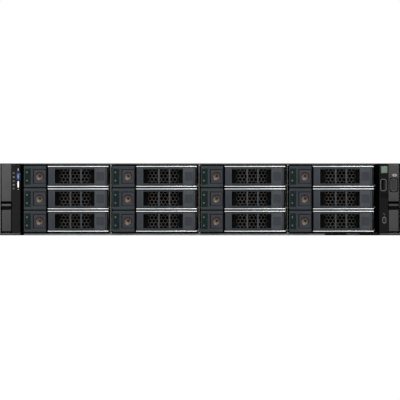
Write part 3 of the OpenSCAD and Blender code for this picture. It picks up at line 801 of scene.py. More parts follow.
SUPPLY_CASE = SheetMetal(
    "supply_case", "supply_steel", (0.34, 0.345, 0.35), 0.5, spangle=0.08, metallic=0.35, gloss=0.3)
FAN_PLASTIC = MouldedPlastic("rotor_plastic", "fan_plastic", (0.012, 0.012, 0.013), 0.4)
FRAME_PLASTIC = MouldedPlastic("fan_frame_plastic", "dark_plastic", (0.02, 0.02, 0.021), 0.45)
RELEASE_RED = MouldedPlastic("lever_red", "release_red", (0.30, 0.035, 0.025), 0.4)
TOUCH_BLUE = MouldedPlastic("touch_blue", "latch_blue", (0.03, 0.10, 0.30), 0.4)
TAG_BLACK = MouldedPlastic("tag_plastic", "tag_black", (0.002, 0.002, 0.002), 0.6, gloss=0.1)
TAG_TAB = MouldedPlastic("tag_tab", "tag_black", (0.05, 0.05, 0.052), 0.5, gloss=0.25)
MEMORY_GREEN = BoardMask("memory_green", "circuit_board", (0.008, 0.05, 0.03), 0.4)
SINK_METAL = SheetMetal(
    "sink_metal", "slot_plate", (0.55, 0.56, 0.57), 0.4, metallic=0.6, brushed=(1.0, 0.05, 1.0))
JACK_METAL = SheetMetal("jack_metal", "screw_steel", (0.50, 0.51, 0.52), 0.32, metallic=0.7)
SOCKET_BLACK = MouldedPlastic("socket_black", "dark_plastic", (0.018, 0.018, 0.019), 0.45)
CHIP_BLACK = MouldedPlastic("chip_black", "dark_plastic", (0.010, 0.010, 0.011), 0.5, gloss=0.3)
GRIP_BLACK = MouldedPlastic("supply_grip", "dark_plastic", (0.022, 0.022, 0.023), 0.5)
CABLE_BLACK = MouldedPlastic(
    "cable_sleeve", "dark_plastic", (0.014, 0.014, 0.015), 0.6, grain=1400.0, depth=0.0001)
CONTACT_GOLD = SheetMetal("contact_gold", "copper_ring", (0.72, 0.50, 0.18), 0.3)
CONTACT_STEEL = SheetMetal("blade_plating", "screw_steel", (0.60, 0.60, 0.60), 0.3)
CAN_METAL = SheetMetal("capacitor_can", "slot_plate", (0.55, 0.55, 0.56), 0.3, metallic=0.7)
BOARD_GREEN = BoardMask("board_green", "circuit_board", (0.012, 0.075, 0.035), 0.35)


# ---- Placing pieces ----


def node_centre(node: str) -> Vector:
    """Finds the middle of a CAD node's box.

    Args:
        node: The node's name.

    Returns:
        The middle, in millimetres.
    """
    low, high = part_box(node)
    return (Vector(low) + Vector(high)) / 2 / MM


def place_piece(
    data: bpy.types.Mesh,
    name: str,
    finish: Finish,
    body: str,
    offset: Point,
    replaces: Sequence[str] = (),
) -> None:
    """Makes an object of a mesh and hands it to the frame.

    Args:
        data: The mesh, in millimetres. It is copied.
        name: The piece's name.
        finish: Its finish.
        body: The body that it rides on.
        offset: How far its mesh is moved, in millimetres.
        replaces: The CAD nodes that it stands for.
    """
    own = data.copy()
    own.name = name
    own.transform(Matrix.Scale(MM, 4) @ Matrix.Translation(offset))
    own.set_sharp_from_angle(angle=Shape.BEND[1])
    own.materials.clear()
    own.materials.append(finish.material())
    piece = put_in_scene(name, own)
    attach(piece, body)
    if replaces:
        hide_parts(*replaces)
    log.info("%s rides on %s: %d faces", name, body, len(own.polygons))


def place_shape(
    shape: Shape,
    name: str,
    finish: Finish,
    body: str = CHASSIS,
    offset: Point = (0, 0, 0),
    replaces: Sequence[str] = (),
) -> None:
    """Makes a piece of a shape, which is used up.

    Args:
        shape: The shape, in millimetres.
        name: The piece's name.
        finish: Its finish.
        body: The body that it rides on.
        offset: How far it is moved, in millimetres.
        replaces: The CAD nodes that it stands for.
    """
    data = shape.mesh("shape")
    place_piece(data, name, finish, body, offset, replaces)
    bpy.data.meshes.remove(data)


@dataclass(frozen=True)
class Pattern:
    """A piece that is modelled once and repeated, such as one in each bay."""

    name: str
    shape: Callable[[], Shape]
    finish: Finish
    stands_for: bool = False


# ---- Drive bays ----


@dataclass
class DriveTray:
    """A drive carrier with its latch housing, light strip and drive, about the bay's middle."""

    left: float = -51.45
    right: float = 50.1
    height: float = 25.5
    reach: float = 20.0
    housing_w: float = 26.5
    flange_left: float = -22.85
    flange_top: Pair = (11.5, 12.6)
    flange_low: Pair = (-12.35, -11.3)
    grille_y: float = -10.0
    liner_half: float = 13.4
    cell: float = 4.6
    wall: float = 0.85
    cells_x: float = 9.75
    cells_z: float = 0.4
    cells_across: int = 8
    rail_half: float = 52.05
    rail_t: float = 1.2
    rail_h: float = 18.0
    drive_w: float = 101.6
    drive_h: float = 26.1
    drive_y: float = -4.0
    drive_d: float = 147.0
    strip: Pair = (-50.5, -43.5)
    strip_h: float = 19.2
    bar: Pair = (-43.2, -41.2)
    pad: Pair = (-39.5, -25.6)
    pad_h: float = 16.0
    dots_x: float = -47.85
    dots_z: Pair = (4.95, -4.95)

    def flanges(self) -> Shape:
        """Models the bright flanges above and below the handle.

        Returns:
            The flanges.
        """
        shape = Shape()
        for low, high in (self.flange_low, self.flange_top):
            shape.box((self.flange_left, -self.reach, low), (self.right, self.grille_y, high))
        return shape.rounded(0.35, 2)

    def rails(self) -> Shape:
        """Models the side rails.

        Returns:
            The rails.
        """
        shape = Shape()
        for s in (-1, 1):
            x0, x1 = sorted((s * (self.rail_half - self.rail_t), s * self.rail_half))
            shape.box((x0, self.grille_y, -self.rail_h / 2),
                      (x1, self.drive_y + self.drive_d + 3, self.rail_h / 2))
        return shape.rounded(0.35, 2)

    def rail_screws(self) -> Shape:
        """Models the screws that hold the drive, flush in the rails.

        Returns:
            The screws.
        """
        shape = Shape()
        for s in (-1, 1):
            for y in (self.drive_y + 28, self.drive_y + 70, self.drive_y + self.drive_d - 29):
                start = s * self.rail_half - (0.0 if s < 0 else 0.3)
                shape.rod((start, y, -self.drive_h / 2 + 6.4), Axis.X, 2.6, 0.3, sides=24)
        return shape

    def grille(self) -> Shape:
        """Models the honeycomb plate behind the handle.

        Returns:
            The plate.
        """
        shape = Shape().box((self.left + 0.4, self.grille_y, -self.height / 2 + 0.1),
                            (self.right - 0.2, self.grille_y + 1, self.height / 2 - 0.1))
        return shape.carve(self.cells(self.cell - self.wall, self.grille_y - 1, 3))

    def cells(self, width: float, y: float, depth: float) -> Shape:
        """Models a six-sided block in each cell of the honeycomb.

        Args:
            width: The width of a block across its flats.
            y: The depth of its front.
            depth: Its length.

        Returns:
            The blocks.
        """
        rise = self.cell * math.sin(math.radians(60))
        shape = Shape().rod((0, y, 0), Axis.Y, width / 2 / math.cos(math.radians(30)), depth, sides=6)
        rows = [(row, self.cells_across - abs(row) % 2) for row in range(-2, 3)]
        return shape.repeated([
            (self.cells_x + (k - (count - 1) / 2) * self.cell, 0, self.cells_z + row * rise)
            for row, count in rows
            for k in range(count)
        ])

    def cell_edges(self) -> Shape:
        """Models lighter rims around the cells, a little proud of the plate: a painted highlight where the
        light catches the cell edges.
        """
        edges = self.cells(self.cell - 0.02, self.grille_y - 0.1, 0.15)
        return edges.carve(self.cells(self.cell - self.wall, self.grille_y - 1, 3))

    def liner(self) -> Shape:
        """Models a black sheet behind the grille and black caps on the rails' front ends, both painted
        shade.

        Returns:
            The sheet and the caps.
        """
        half = self.liner_half
        y = self.grille_y + 1.3
        shape = Shape().box((self.left + 1, y, -half), (self.right - 1, y + 0.5, half))
        for s in (-1, 1):
            x0, x1 = sorted((s * (self.rail_half - self.rail_t - 0.3), s * (self.rail_half + 0.02)))
            shape.box((x0, self.grille_y - 0.3, -self.rail_h / 2 - 0.1),
                      (x1, self.grille_y + 0.2, self.rail_h / 2 + 0.1))
        return shape

    def housing(self) -> Shape:
        """Models the plastic housing with its button well and light strip groove.

        Returns:
            The housing.
        """
        front = -self.reach
        shape = Shape().box((self.left, front, -self.height / 2),
                            (self.left + self.housing_w, self.grille_y - 0.1, self.height / 2))
        wells = Shape().box((self.pad[0] - 0.9, front - 1, -self.pad_h / 2 - 0.45),
                            (self.pad[1] + 0.3, front + 8.3, self.pad_h / 2 + 0.85))
        wells.box((self.strip[0], front - 1, -self.strip_h / 2),
                  (self.strip[1], front + 1.1, self.strip_h / 2))
        for x in self.bar:
            wells.box((x - 0.15, front - 1, -10.6), (x + 0.15, front + 0.35, 10.6))
        return shape.carve(wells).rounded(0.3, 2)

    def light_strip(self) -> Shape:
        """Models the smoked strip in its groove.

        Returns:
            The strip.
        """
        shape = Shape().box((self.strip[0] + 0.1, -self.reach + 0.2, -self.strip_h / 2 + 0.1),
                            (self.strip[1] - 0.1, -self.reach + 1.0, self.strip_h / 2 - 0.1))
        return shape.rounded(0.25, 2)

    def dots(self) -> Shape:
        """Models the two status lamps as low domes on the strip.

        Returns:
            The lamps.
        """
        shape = Shape()
        for z in self.dots_z:
            shape.rod((self.dots_x, -self.reach + 0.08, z), Axis.Y, 0.7, 0.14, sides=20, tip=1.0)
        return shape

    def casting(self) -> Shape:
        """Models the drive's cast body, with its pocket for the connector.

        Returns:
            The body.
        """
        w, d = self.drive_w / 2, self.drive_y + self.drive_d
        h = self.drive_h / 2
        shape = Shape().box((-w, self.drive_y, -h), (w, d, h - 1.6))
        pocket = Shape().box((-w + 12, d - 5, -h - 1), (-w + 56, d + 1, -h + 8))
        return shape.carve(pocket).rounded(0.5, 2)

    def lid(self) -> Shape:
        """Models the drive's lid, with its raised field and its screws.

        Returns:
            The lid.
        """
        w, d, h = self.drive_w / 2, self.drive_y + self.drive_d, self.drive_h / 2
        middle = (self.drive_y + 4 + d - 12) / 2
        shape = Shape()
        outline = round_rect(self.drive_w - 5, self.drive_d - 16, 7, 5)
        part = Shape().plate(outline, 0, 1.0)
        inner = round_rect(self.drive_w - 17, self.drive_d - 44, 12, 5)
        part.plate(shifted(inner, 0, 6), 1.0, 1.55)
        part.turn(90, Axis.X)
        part.repeated([(0, middle, h - 1.6)])
        shape.add(part).rounded(0.25, 2)
        for x in (-w + 6, w - 6):
            for y in (self.drive_y + 10, middle, d - 20):
                shape.rod((x, y, h - 0.65), Axis.Z, 2.3, 0.5, sides=20)
        return shape


@dataclass
class SwingHandle:
    """The ribbed handle that closes a tray, hinged at its right end."""

    left: float = -22.25
    hinge: float = 46.7
    reach: float = 20.0
    thick: float = 6.0
    height: float = 21.4
    window: Pair = (-14.45, 33.1)
    window_z: Pair = (-8.1, 8.75)
    ribs: Pair = (4.33, 17.12)
    rib_w: float = 1.8
    flat: Pair = (33.7, 46.2)
    patch: Pair = (35.4, 45.0)
    patch_z: Pair = (-5.0, 5.4)

    def bar(self) -> Shape:
        """Models the frame of the handle with its windows.

        Returns:
            The frame.
        """
        front, back = -self.reach, -self.reach + self.thick
        shape = Shape().box(
            (self.left, front + 0.15, -self.height / 2), (self.hinge, back, self.height / 2))
        windows = Shape()
        edges = [self.window[0], *self.ribs, self.window[1]]
        for k in range(3):
            low = edges[k] + (self.rib_w / 2 if k else 0)
            high = edges[k + 1] - (self.rib_w / 2 if k < 2 else 0)
            windows.box((low, front - 1, self.window_z[0]), (high, back + 1, self.window_z[1]))
        return shape.carve(windows).rounded(0.35, 2)

    def barrel(self) -> Shape:
        """Models the round end that turns on the hinge pins; its dark plastic is painted shade on the
        curve.

        Returns:
            The round end.
        """
        centre_y = -self.reach + self.thick / 2
        shape = Shape().rod((self.hinge, centre_y, -self.height / 2), Axis.Z,
                            self.thick / 2 - 0.02, self.height, sides=40)
        return shape.rounded(0.3, 2)

    def hook(self) -> Shape:
        """Models the catch behind the grip and the cam behind the hinge.

        Returns:
            The catch and the cam.
        """
        back = -self.reach + self.thick
        shape = Shape().box((self.left, back - 0.5, -5), (self.left + 2.6, back + 3, 5))
        shape.box((self.hinge - 3, back - 2.5, -4), (self.hinge, back + 2.4, 4))
        return shape.rounded(0.4, 2)

    def shade(self) -> Shape:
        """Models darker strips above and below the windows, painted shade.

        Returns:
            The strips.
        """
        front = -self.reach
        shape = Shape()
        below = (-self.height / 2 + 0.3, self.window_z[0] - 0.15)
        above = (self.window_z[1] + 0.15, self.height / 2 - 0.3)
        for low, high in (below, above):
            shape.box((self.window[0] + 0.1, front + 0.08, low), (self.window[1] - 0.1, front + 0.6, high))
        return shape.rounded(0.05, 1)

    def block(self) -> Shape:
        """Models the face of the grip on the left.

        Returns:
            The face.
        """
        front = -self.reach
        shape = Shape().box((self.left + 0.2, front + 0.04, -self.height / 2 + 0.3),
                            (self.window[0] - 1.1, front + 0.6, self.height / 2 - 0.3))
        return shape.rounded(0.12, 2)

    def lights(self) -> Shape:
        """Models the lighter faces, a painted highlight: the ribs, the edge by the grip, the flat by the
        hinge and its end edge.

        Returns:
            The faces.
        """
        front = -self.reach
        low, high = self.window_z
        shape = Shape().box((self.flat[0], front + 0.02, -self.height / 2 + 0.3),
                            (self.flat[1], front + 0.6, self.height / 2 - 0.3))
        shape.box((self.window[0] - 1.0, front + 0.02, low - 0.4),
                  (self.window[0] - 0.05, front + 0.6, high + 0.4))
        half = self.rib_w / 2 - 0.01
        for x in self.ribs:
            shape.box((x - half, front + 0.02, low + 0.1), (x + half, front + 0.6, high - 0.1))
        shape.box((self.flat[1] + 0.4, front + 0.02, -self.height / 2 + 0.5),
                  (self.flat[1] + 1.7, front + 0.6, self.height / 2 - 0.5))
        return shape.rounded(0.12, 2)

    def label(self) -> Shape:
        """Models the blank patch on the flat.

        Returns:
            The patch.
        """
        width, height = self.patch[1] - self.patch[0], self.patch_z[1] - self.patch_z[0]
        outline = shifted(round_rect(width, height, 0.5, 3), sum(self.patch) / 2, sum(self.patch_z) / 2)
        return Shape().plate(outline, -self.reach, -self.reach + 0.1)


@dataclass
class ReleaseButton:
    """The square button of a tray, with the copper-brown ring in its dish."""

    pad_x: Pair = (-39.5, -25.6)
    x: float = -33.0
    z: float = -0.4
    lean: Pair = (0.28, 0.32)
    dish: Pair = (-32.6, 0.2)
    reach: float = 20.0
    height: float = 16.0
    depth: float = 6.8
    dish_r: float = 4.7
    dish_depth: float = 3.4
    ring_r: float = 3.95
    hole_r: float = 1.3

    def pad(self) -> Shape:
        """Models the pad with its round dish.

        Returns:
            The pad.
        """
        front = -self.reach + 0.2
        shape = Shape().box((self.pad_x[0], front, -self.height / 2),
                            (self.pad_x[1], front + self.depth - 0.2, self.height / 2))
        dish = Shape().rod(
            (self.dish[0], front - 1, self.dish[1]), Axis.Y, self.dish_r, 1 + self.dish_depth, sides=48)
        return shape.carve(dish).rounded(0.3, 2)

    def ring(self) -> Shape:
        """Models the ring as a bowl around its hole, which leans up and to the side.

        Returns:
            The ring.
        """
        deep = self.dish_depth - 0.05
        hole, rim = self.hole_r, self.ring_r
        outline = (
            (hole, deep), (hole, 2.7), (hole + 0.25, 2.35), (2.3, 1.75), (3.05, 1.1),
            (rim - 0.4, 0.5), (rim - 0.15, 0.4), (rim, 0.55), (rim, deep),
        )
        shape = Shape().turned(outline, (0, 0, 0), 48)
        bmesh.ops.transform(shape.bm, verts=shape.bm.verts, matrix=Matrix.Shear("XZ", 4, self.lean))
        x, z = (at - 0.2 * lean for at, lean in zip((self.x, self.z), self.lean))
        return shape.repeated([(x, -self.reach + 0.2, z)])

    def plug(self) -> Shape:
        """Models the dark floor of the dish, painted as the shadow under the dish's wall, which shows in
        the ring's hole and around it.

        Returns:
            The floor.
        """
        front = -self.reach + 0.2 + self.dish_depth
        shape = Shape().rod(
            (self.dish[0], front - 0.4, self.dish[1]), Axis.Y, self.dish_r - 0.05, 0.35, sides=32)
        return shape.rod((self.dish[0] + 0.1, front - 0.9, self.dish[1] + 0.4),
                         Axis.Y, self.ring_r - 1.4, 0.6, sides=32)


@dataclass
class DriveBays:
    """All the bays: a tray, a handle and a button in each."""

    count: int = 12
    tray: DriveTray = field(default_factory=DriveTray)
    handle: SwingHandle = field(default_factory=SwingHandle)
    button: ReleaseButton = field(default_factory=ReleaseButton)

    def patterns(self) -> dict[str, list[Pattern]]:
        """Lists the pieces of one bay under the kind of body that they ride on.

        Returns:
            The pieces under each kind of body.
        """
        tray, handle, button = self.tray, self.handle, self.button
        return {
            "tray": [
                Pattern("rails", tray.rails, RAIL_STEEL, True),
                Pattern("flanges", tray.flanges, BRIGHT_STEEL),
                Pattern("rail_screws", tray.rail_screws, SCREW_STEEL),
                Pattern("grille", tray.grille, GRILLE_BLACK_AND_SHADE),
                Pattern("cell_edges", tray.cell_edges, CELL_EDGE_HIGHLIGHT),
                # The black sheet and caps are painted shade behind the grille and on the rail ends.
                Pattern("liner", tray.liner, SHADE_BLACK),
                Pattern("housing", tray.housing, HOUSING_PLASTIC),
                Pattern("light_strip", tray.light_strip, SMOKED),
                Pattern("dots", tray.dots, DOT),
                Pattern("drive_casting", tray.casting, CAST_METAL),
                Pattern("drive_lid", tray.lid, LID_METAL),
            ],
            "handle": [
                Pattern("bar", handle.bar, GRIP_PLASTIC, True),
                Pattern("barrel", handle.barrel, GRIP_BARREL_SHADE),
                Pattern("hook", handle.hook, GRIP_PLASTIC),
                Pattern("shade", handle.shade, GRIP_SHADE),
                Pattern("block", handle.block, GRIP_PLASTIC),
                Pattern("lights", handle.lights, GRIP_HIGHLIGHT),
                Pattern("label", handle.label, PATCH_PLASTIC),
            ],
            "button": [
                Pattern("pad", button.pad, PAD_PLASTIC, True),
                Pattern("ring", button.ring, COPPER),
                Pattern("hole", button.plug, HOLE_AND_DISH_SHADOW),
            ],
        }

    def build(self) -> None:
        """Models each pattern once and places it in every bay."""
        for kind, patterns in self.patterns().items():
            for pattern in patterns:
                data = pattern.shape().mesh(pattern.name)
                for bay in range(1, self.count + 1):
                    body = f"{kind}_{bay:02d}"
                    centre = node_centre(f"tray_{bay:02d}")
                    stands = [body] if pattern.stands_for else []
                    place_piece(data, f"{body}_{pattern.name}", pattern.finish, body,
                                (centre.x, RACK_Y, centre.z), stands)
                bpy.data.meshes.remove(data)


# ---- Chassis ----


def part_groups(bm: bmesh.types.BMesh) -> list[list[bmesh.types.BMVert]]:
    """Sorts a mesh's points into its loose parts.

    Args:
        bm: The mesh.

    Returns:
        The points of each loose part.
    """
    left = set(bm.verts)
    groups = []
    for seed in list(bm.verts):
        if seed not in left:
            continue
        left.remove(seed)
        group, ahead = [], [seed]
        while ahead:
            vert = ahead.pop()
            group.append(vert)
            near = {edge.other_vert(vert) for edge in vert.link_edges} & left
            left -= near
            ahead.extend(near)
        groups.append(group)
    return groups


def corners(points: Iterable[Vector]) -> Corners:
    """Finds the lowest and highest corners of a set of points."""
    columns = list(zip(*points))
    return Vector(min(c) for c in columns), Vector(max(c) for c in columns)


def cad_shape(node: str) -> Shape:
    """Copies a CAD node's mesh, in millimetres, with its points and flats joined.

    Args:
        node: The node's name.

    Returns:
        The copy.
    """
    shape = Shape()
    shape.bm.from_mesh(frame["nodes"][node].data)
    bmesh.ops.scale(shape.bm, vec=(1 / MM,) * 3, verts=shape.bm.verts)
    bmesh.ops.remove_doubles(shape.bm, verts=shape.bm.verts, dist=0.002)
    bmesh.ops.dissolve_limit(shape.bm, angle_limit=math.radians(1),
                             verts=shape.bm.verts, edges=shape.bm.edges)
    return shape


def part_boxes(node: str) -> list[Corners]:
    """Lists the boxes of a CAD node's loose parts, in millimetres.

    Args:
        node: The node's name.

    Returns:
        The lowest and highest corner of each part.
    """
    shape = cad_shape(node)
    boxes = [corners(v.co for v in group) for group in part_groups(shape.bm)]
    shape.bm.free()
    return boxes


@dataclass
class FrontEdges:
    """The front edges of the body: the cover's edge, the hem under the bays and black strips painted as
    shade in the gaps.
    """

    half_w: float = 214.0
    face: float = -14.0
    cover_z: float = 85.6
    top: float = 86.8
    hem_top: float = 2.45
    cage_edges: tuple[Pair, ...] = ((2.4, 3.5), (84.3, 85.55))
    wall_z: Pair = (3.7, 84.1)
    wall_half: float = 0.85

    def cover_edge(self) -> Shape:
        """Models the rolled front edge of the top cover."""
        shape = Shape().box((-self.half_w - 2, self.face - 0.35, self.cover_z - 0.1),
                            (self.half_w + 2, self.face + 0.1, self.top - 0.02))
        return shape.rounded(0.2, 2)

    def tag_start(self) -> float:
        """Returns where the information tag begins along X."""
        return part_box("info_tag")[0][0] / MM - 0.3

    def hem(self) -> Shape:
        """Models the rounded hem under the bays, up to the information tag."""
        shape = Shape().box((-self.half_w - 1.2, self.face - 0.6, 0.02),
                            (self.tag_start(), self.face + 0.1, self.hem_top))
        return shape.rounded(0.5, 3)

    def shades(self) -> Shape:
        """Models black strips, painted shade, over the front edges of the cage's roof, floor and walls and
        along the top of the hem.

        Returns:
            The strips.
        """
        shape = Shape()
        for low, high in self.cage_edges:
            shape.box((-self.half_w, self.face + 1.6, low), (self.half_w, self.face + 1.9, high))
        shape.box((-self.half_w, self.face - 0.65, self.hem_top - 0.25),
                  (self.tag_start(), self.face + 0.1, self.hem_top + 0.3))
        centres = [node_centre(f"tray_{3 * k + 1:02d}").x for k in range(4)]
        pitch = centres[1] - centres[0]
        for x in [centres[0] - pitch / 2] + [c + pitch / 2 for c in centres]:
            shape.box((x - self.wall_half, self.face + 1.5, self.wall_z[0]),
                      (x + self.wall_half, self.face + 1.9, self.wall_z[1]))
        return shape

    def build(self) -> None:
        """Builds the edges on the chassis."""
        parts = (
            ("cover_edge", self.cover_edge, EDGE_STEEL),
            ("hem", self.hem, HEM_STEEL),
            ("shades", self.shades, SHADE_BLACK),
        )
        for name, make, finish in parts:
            place_shape(make(), f"front_{name}", finish, offset=(0, RACK_Y, 0))


@dataclass
class FingerStrips:
    """Sprung metal fingers along the front edges of the walls between columns of bays."""

    spans: tuple[Pair, ...] = ((-1.04, 0.45), (-1.04, 0.1), (-1.04, -0.35))
    pitch: float = 13.46
    radius: float = 0.8
    reach: float = 14.3
    first_z: float = 78.6

    def build(self) -> None:
        """Adds a dull strip with a row of bright bumps between each two columns."""
        low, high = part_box("drive_cage")
        bottom, top = low[2] / MM, high[2] / MM
        rows = int((self.first_z - bottom - 4) / self.pitch) + 1
        for k, (left, right) in enumerate(self.spans):
            x = (node_centre(f"tray_{3 * k + 1:02d}").x + node_centre(f"tray_{3 * k + 4:02d}").x) / 2
            bumps = Shape()
            bmesh.ops.create_uvsphere(bumps.bm, u_segments=16, v_segments=10, radius=self.radius)
            bumps.repeated([(left + self.radius, 0.25, self.first_z - i * self.pitch) for i in range(rows)])
            strip = Shape().box((left, 0, bottom + 1), (right, 1.0, top - 1))
            # The black backing beside each strip is painted shade in the gap by the wall.
            backing = Shape().box((right + 0.02, 0.15, bottom + 1), (0.8, 0.9, top - 1))
            for name, shape, finish in (("strip", strip, FINGER_STEEL), ("bumps", bumps, FINGER_TIPS),
                                        ("backing", backing, SHADE_BLACK)):
                place_shape(shape, f"divider_{name}_{k + 1}", finish, offset=(x, RACK_Y - self.reach, 0))


# ---- Rack ears ----


class Side(Enum):
    """The side of the unit that an ear is on."""

    LEFT = -1
    RIGHT = 1

    @property
    def word(self) -> str:
        """The side's name in pieces and bodies."""
        return self.name.lower()


@dataclass
class RackEar:
    """A rack ear, modelled on the right and mirrored for the left."""

    side: Side
    paint: Finish
    latch_paint: Finish
    lip_paint: Finish
    rim_paint: Finish
    strip_paint: Finish
    strip_in: float
    strip_out: float
    plate_in: float
    plate_out: float
    wing_in: float
    wing_foot: float
    wing_low: float = 3.5
    wing_y: Pair = (-15.6, -14.36)
    inner: float = 216.0
    outer: float = 241.0
    height: float = 86.75
    reach: float = 19.0
    lip_reach: float = 22.0
    strip_y: float = -18.0
    strip_back: float = -14.4
    back: float = -2.2
    sill: float = 2.7
    plate_z: float = 41.0
    recess: Pair = (30.8, 35.3)
    lip_top: float = 38.0
    latch_z: float = 5.05

    def mirrored(self, shape: Shape) -> Shape:
        """Turns a shape made for the right into this side's.

        Args:
            shape: The shape as the right-hand ear has it.

        Returns:
            The same shape, mirrored if this ear is on the left.
        """
        if self.side is Side.LEFT:
            bmesh.ops.scale(shape.bm, vec=(-1, 1, 1), verts=shape.bm.verts)
            bmesh.ops.reverse_faces(shape.bm, faces=shape.bm.faces)
        return shape

    def add(self, name: str, shape: Shape, finish: Finish,
            body: str = CHASSIS, replaces: Sequence[str] = ()) -> None:
        """Places one of the ear's pieces.

        Args:
            name: The piece's name, without the side.
            shape: Its shape, as on the right.
            finish: Its finish.
            body: The body that it rides on.
            replaces: The CAD nodes that it stands for.
        """
        place_shape(self.mirrored(shape), f"{self.side.word}_{name}",
                    finish, body, (0, RACK_Y, 0), replaces)

    def plate(self, holes: Optional[Shape] = None) -> Shape:
        """Models the painted outer plate above the latch.

        Args:
            holes: What is cut out of it, if anything.

        Returns:
            The plate's shape.
        """
        shape = Shape().box(
            (self.plate_in, -self.reach, self.plate_z), (self.plate_out, self.back, self.height))
        if holes:
            shape.carve(holes)
        return shape.rounded(0.3, 2)

    def sill_bar(self) -> Shape:
        """Models the bar under the strip and the latch."""
        return Shape().box((self.inner, -self.reach, 0), (self.outer, self.back, self.sill)).rounded(0.2, 2)

    def rim(self) -> Shape:
        """Models the outer rim, set off from the plate by a groove."""
        shape = Shape().box(
            (self.plate_out + 1.1, -self.reach, self.sill + 0.05), (self.outer, self.back, self.height))
        return shape.rounded(0.3, 2)

    def dark(self) -> Shape:
        """Models black pieces painted as shade behind: the grooves' floors, the latch well and the wing by
        the bays.

        Returns:
            The dark parts.
        """
        low, high = self.sill + 0.05, self.height - 0.1
        shape = Shape().box(
            (self.plate_out - 0.2, -self.reach + 2.2, low), (self.plate_out + 1.3, self.back - 0.1, high))
        shape.box((self.strip_out - 0.2, self.strip_y + 0.6, low),
                  (self.plate_in + 0.2, self.back - 0.1, high))
        shape.box((self.plate_in + 0.2, -6, low),
                  (self.plate_out - 0.2, self.back - 0.1, self.plate_z + 0.5))
        front, back = self.wing_y
        shape.box((self.wing_in, front, self.wing_low), (self.strip_in + 0.1, back, self.height - 0.9))
        shape.box((self.wing_foot, front, 0.4), (self.strip_in + 0.1, back, self.wing_low - 0.02))
        shape.box((self.strip_in - 0.05, -16.5, self.sill - 0.1), (self.strip_out, -14.45, self.sill + 0.7))
        return shape

    def strip(self, holes: Shape) -> Shape:
        """Models the dark control strip.

        Args:
            holes: What is cut out of it.

        Returns:
            The strip's shape.
        """
        shape = Shape().box((self.strip_in, self.strip_y, self.sill + 0.5),
                            (self.strip_out, self.strip_back, self.height - 0.1))
        return shape.rounded(0.25, 2).carve(holes)

    def bracket(self) -> Shape:
        """Models the steel bracket behind the ear: its rack flange and its side flange.

        Returns:
            The bracket.
        """
        shape = Shape().box((217.4, -2.0, 3), (self.outer, 0, self.height))
        shape.box((215.5, -13, 8), (216.9, 34, 72.8))
        window = Shape().box((self.plate_in + 1, -3, 14), (self.plate_out - 1, 1, 32))
        return shape.carve(window).rounded(0.35, 2)

    def latch(self) -> None:
        """Builds the sprung latch: its plate and arm, a black band under its lip that is painted shadow,
        and its finger lip.
        """
        x0, x1 = self.plate_in + 0.35, self.plate_out - 0.35
        front = -self.reach + 0.6
        back = -self.reach + 4.5
        low, high = self.recess
        plate = Shape().box((x0, front, self.latch_z), (x1, back, low))
        plate.box((x0 + 3, back - 0.5, 18), (x1 - 3, 10, 26))
        plate.box((x0 + 3, 5, 18), (x1 - 3, 10, 29))
        body = f"{self.side.word}_latch"
        self.add("latch_plate", plate.rounded(0.3, 2), self.latch_paint, body, [body])
        recess = Shape().box((x0 + 0.1, front + 1.4, low - 0.3), (x1 - 0.1, back, high + 0.3))
        self.add("latch_recess", recess, SHADOW_BLACK, body)
        # On the left the lip's finish is lighter than the ear: painted highlight where it catches the
        # light.
        lip = Shape().box((x0, -self.lip_reach, high), (x1, back, self.lip_top))
        self.add("latch_lip", lip.rounded(0.35, 2), self.lip_paint, body)

    def build(self) -> None:
        """Builds the pieces that both ears have."""
        self.add("ear_sill", self.sill_bar(), self.paint)
        self.add("ear_rim", self.rim(), self.rim_paint)
        self.add("ear_dark", self.dark(), SHADE_BLACK)
        self.add("ear_bracket", self.bracket(), EAR_STEEL)
        self.latch()


def control_lens(finish: LitLens, x: float, z: float) -> LitLens:
    """Centres a lit lens's glow on a point.

    Args:
        finish: The lens's finish.
        x: The point's place along X, in millimetres.
        z: Its height, in millimetres.

    Returns:
        The same finish with its glow moved.
    """
    return replace(finish, across=(x * MM, z * MM))


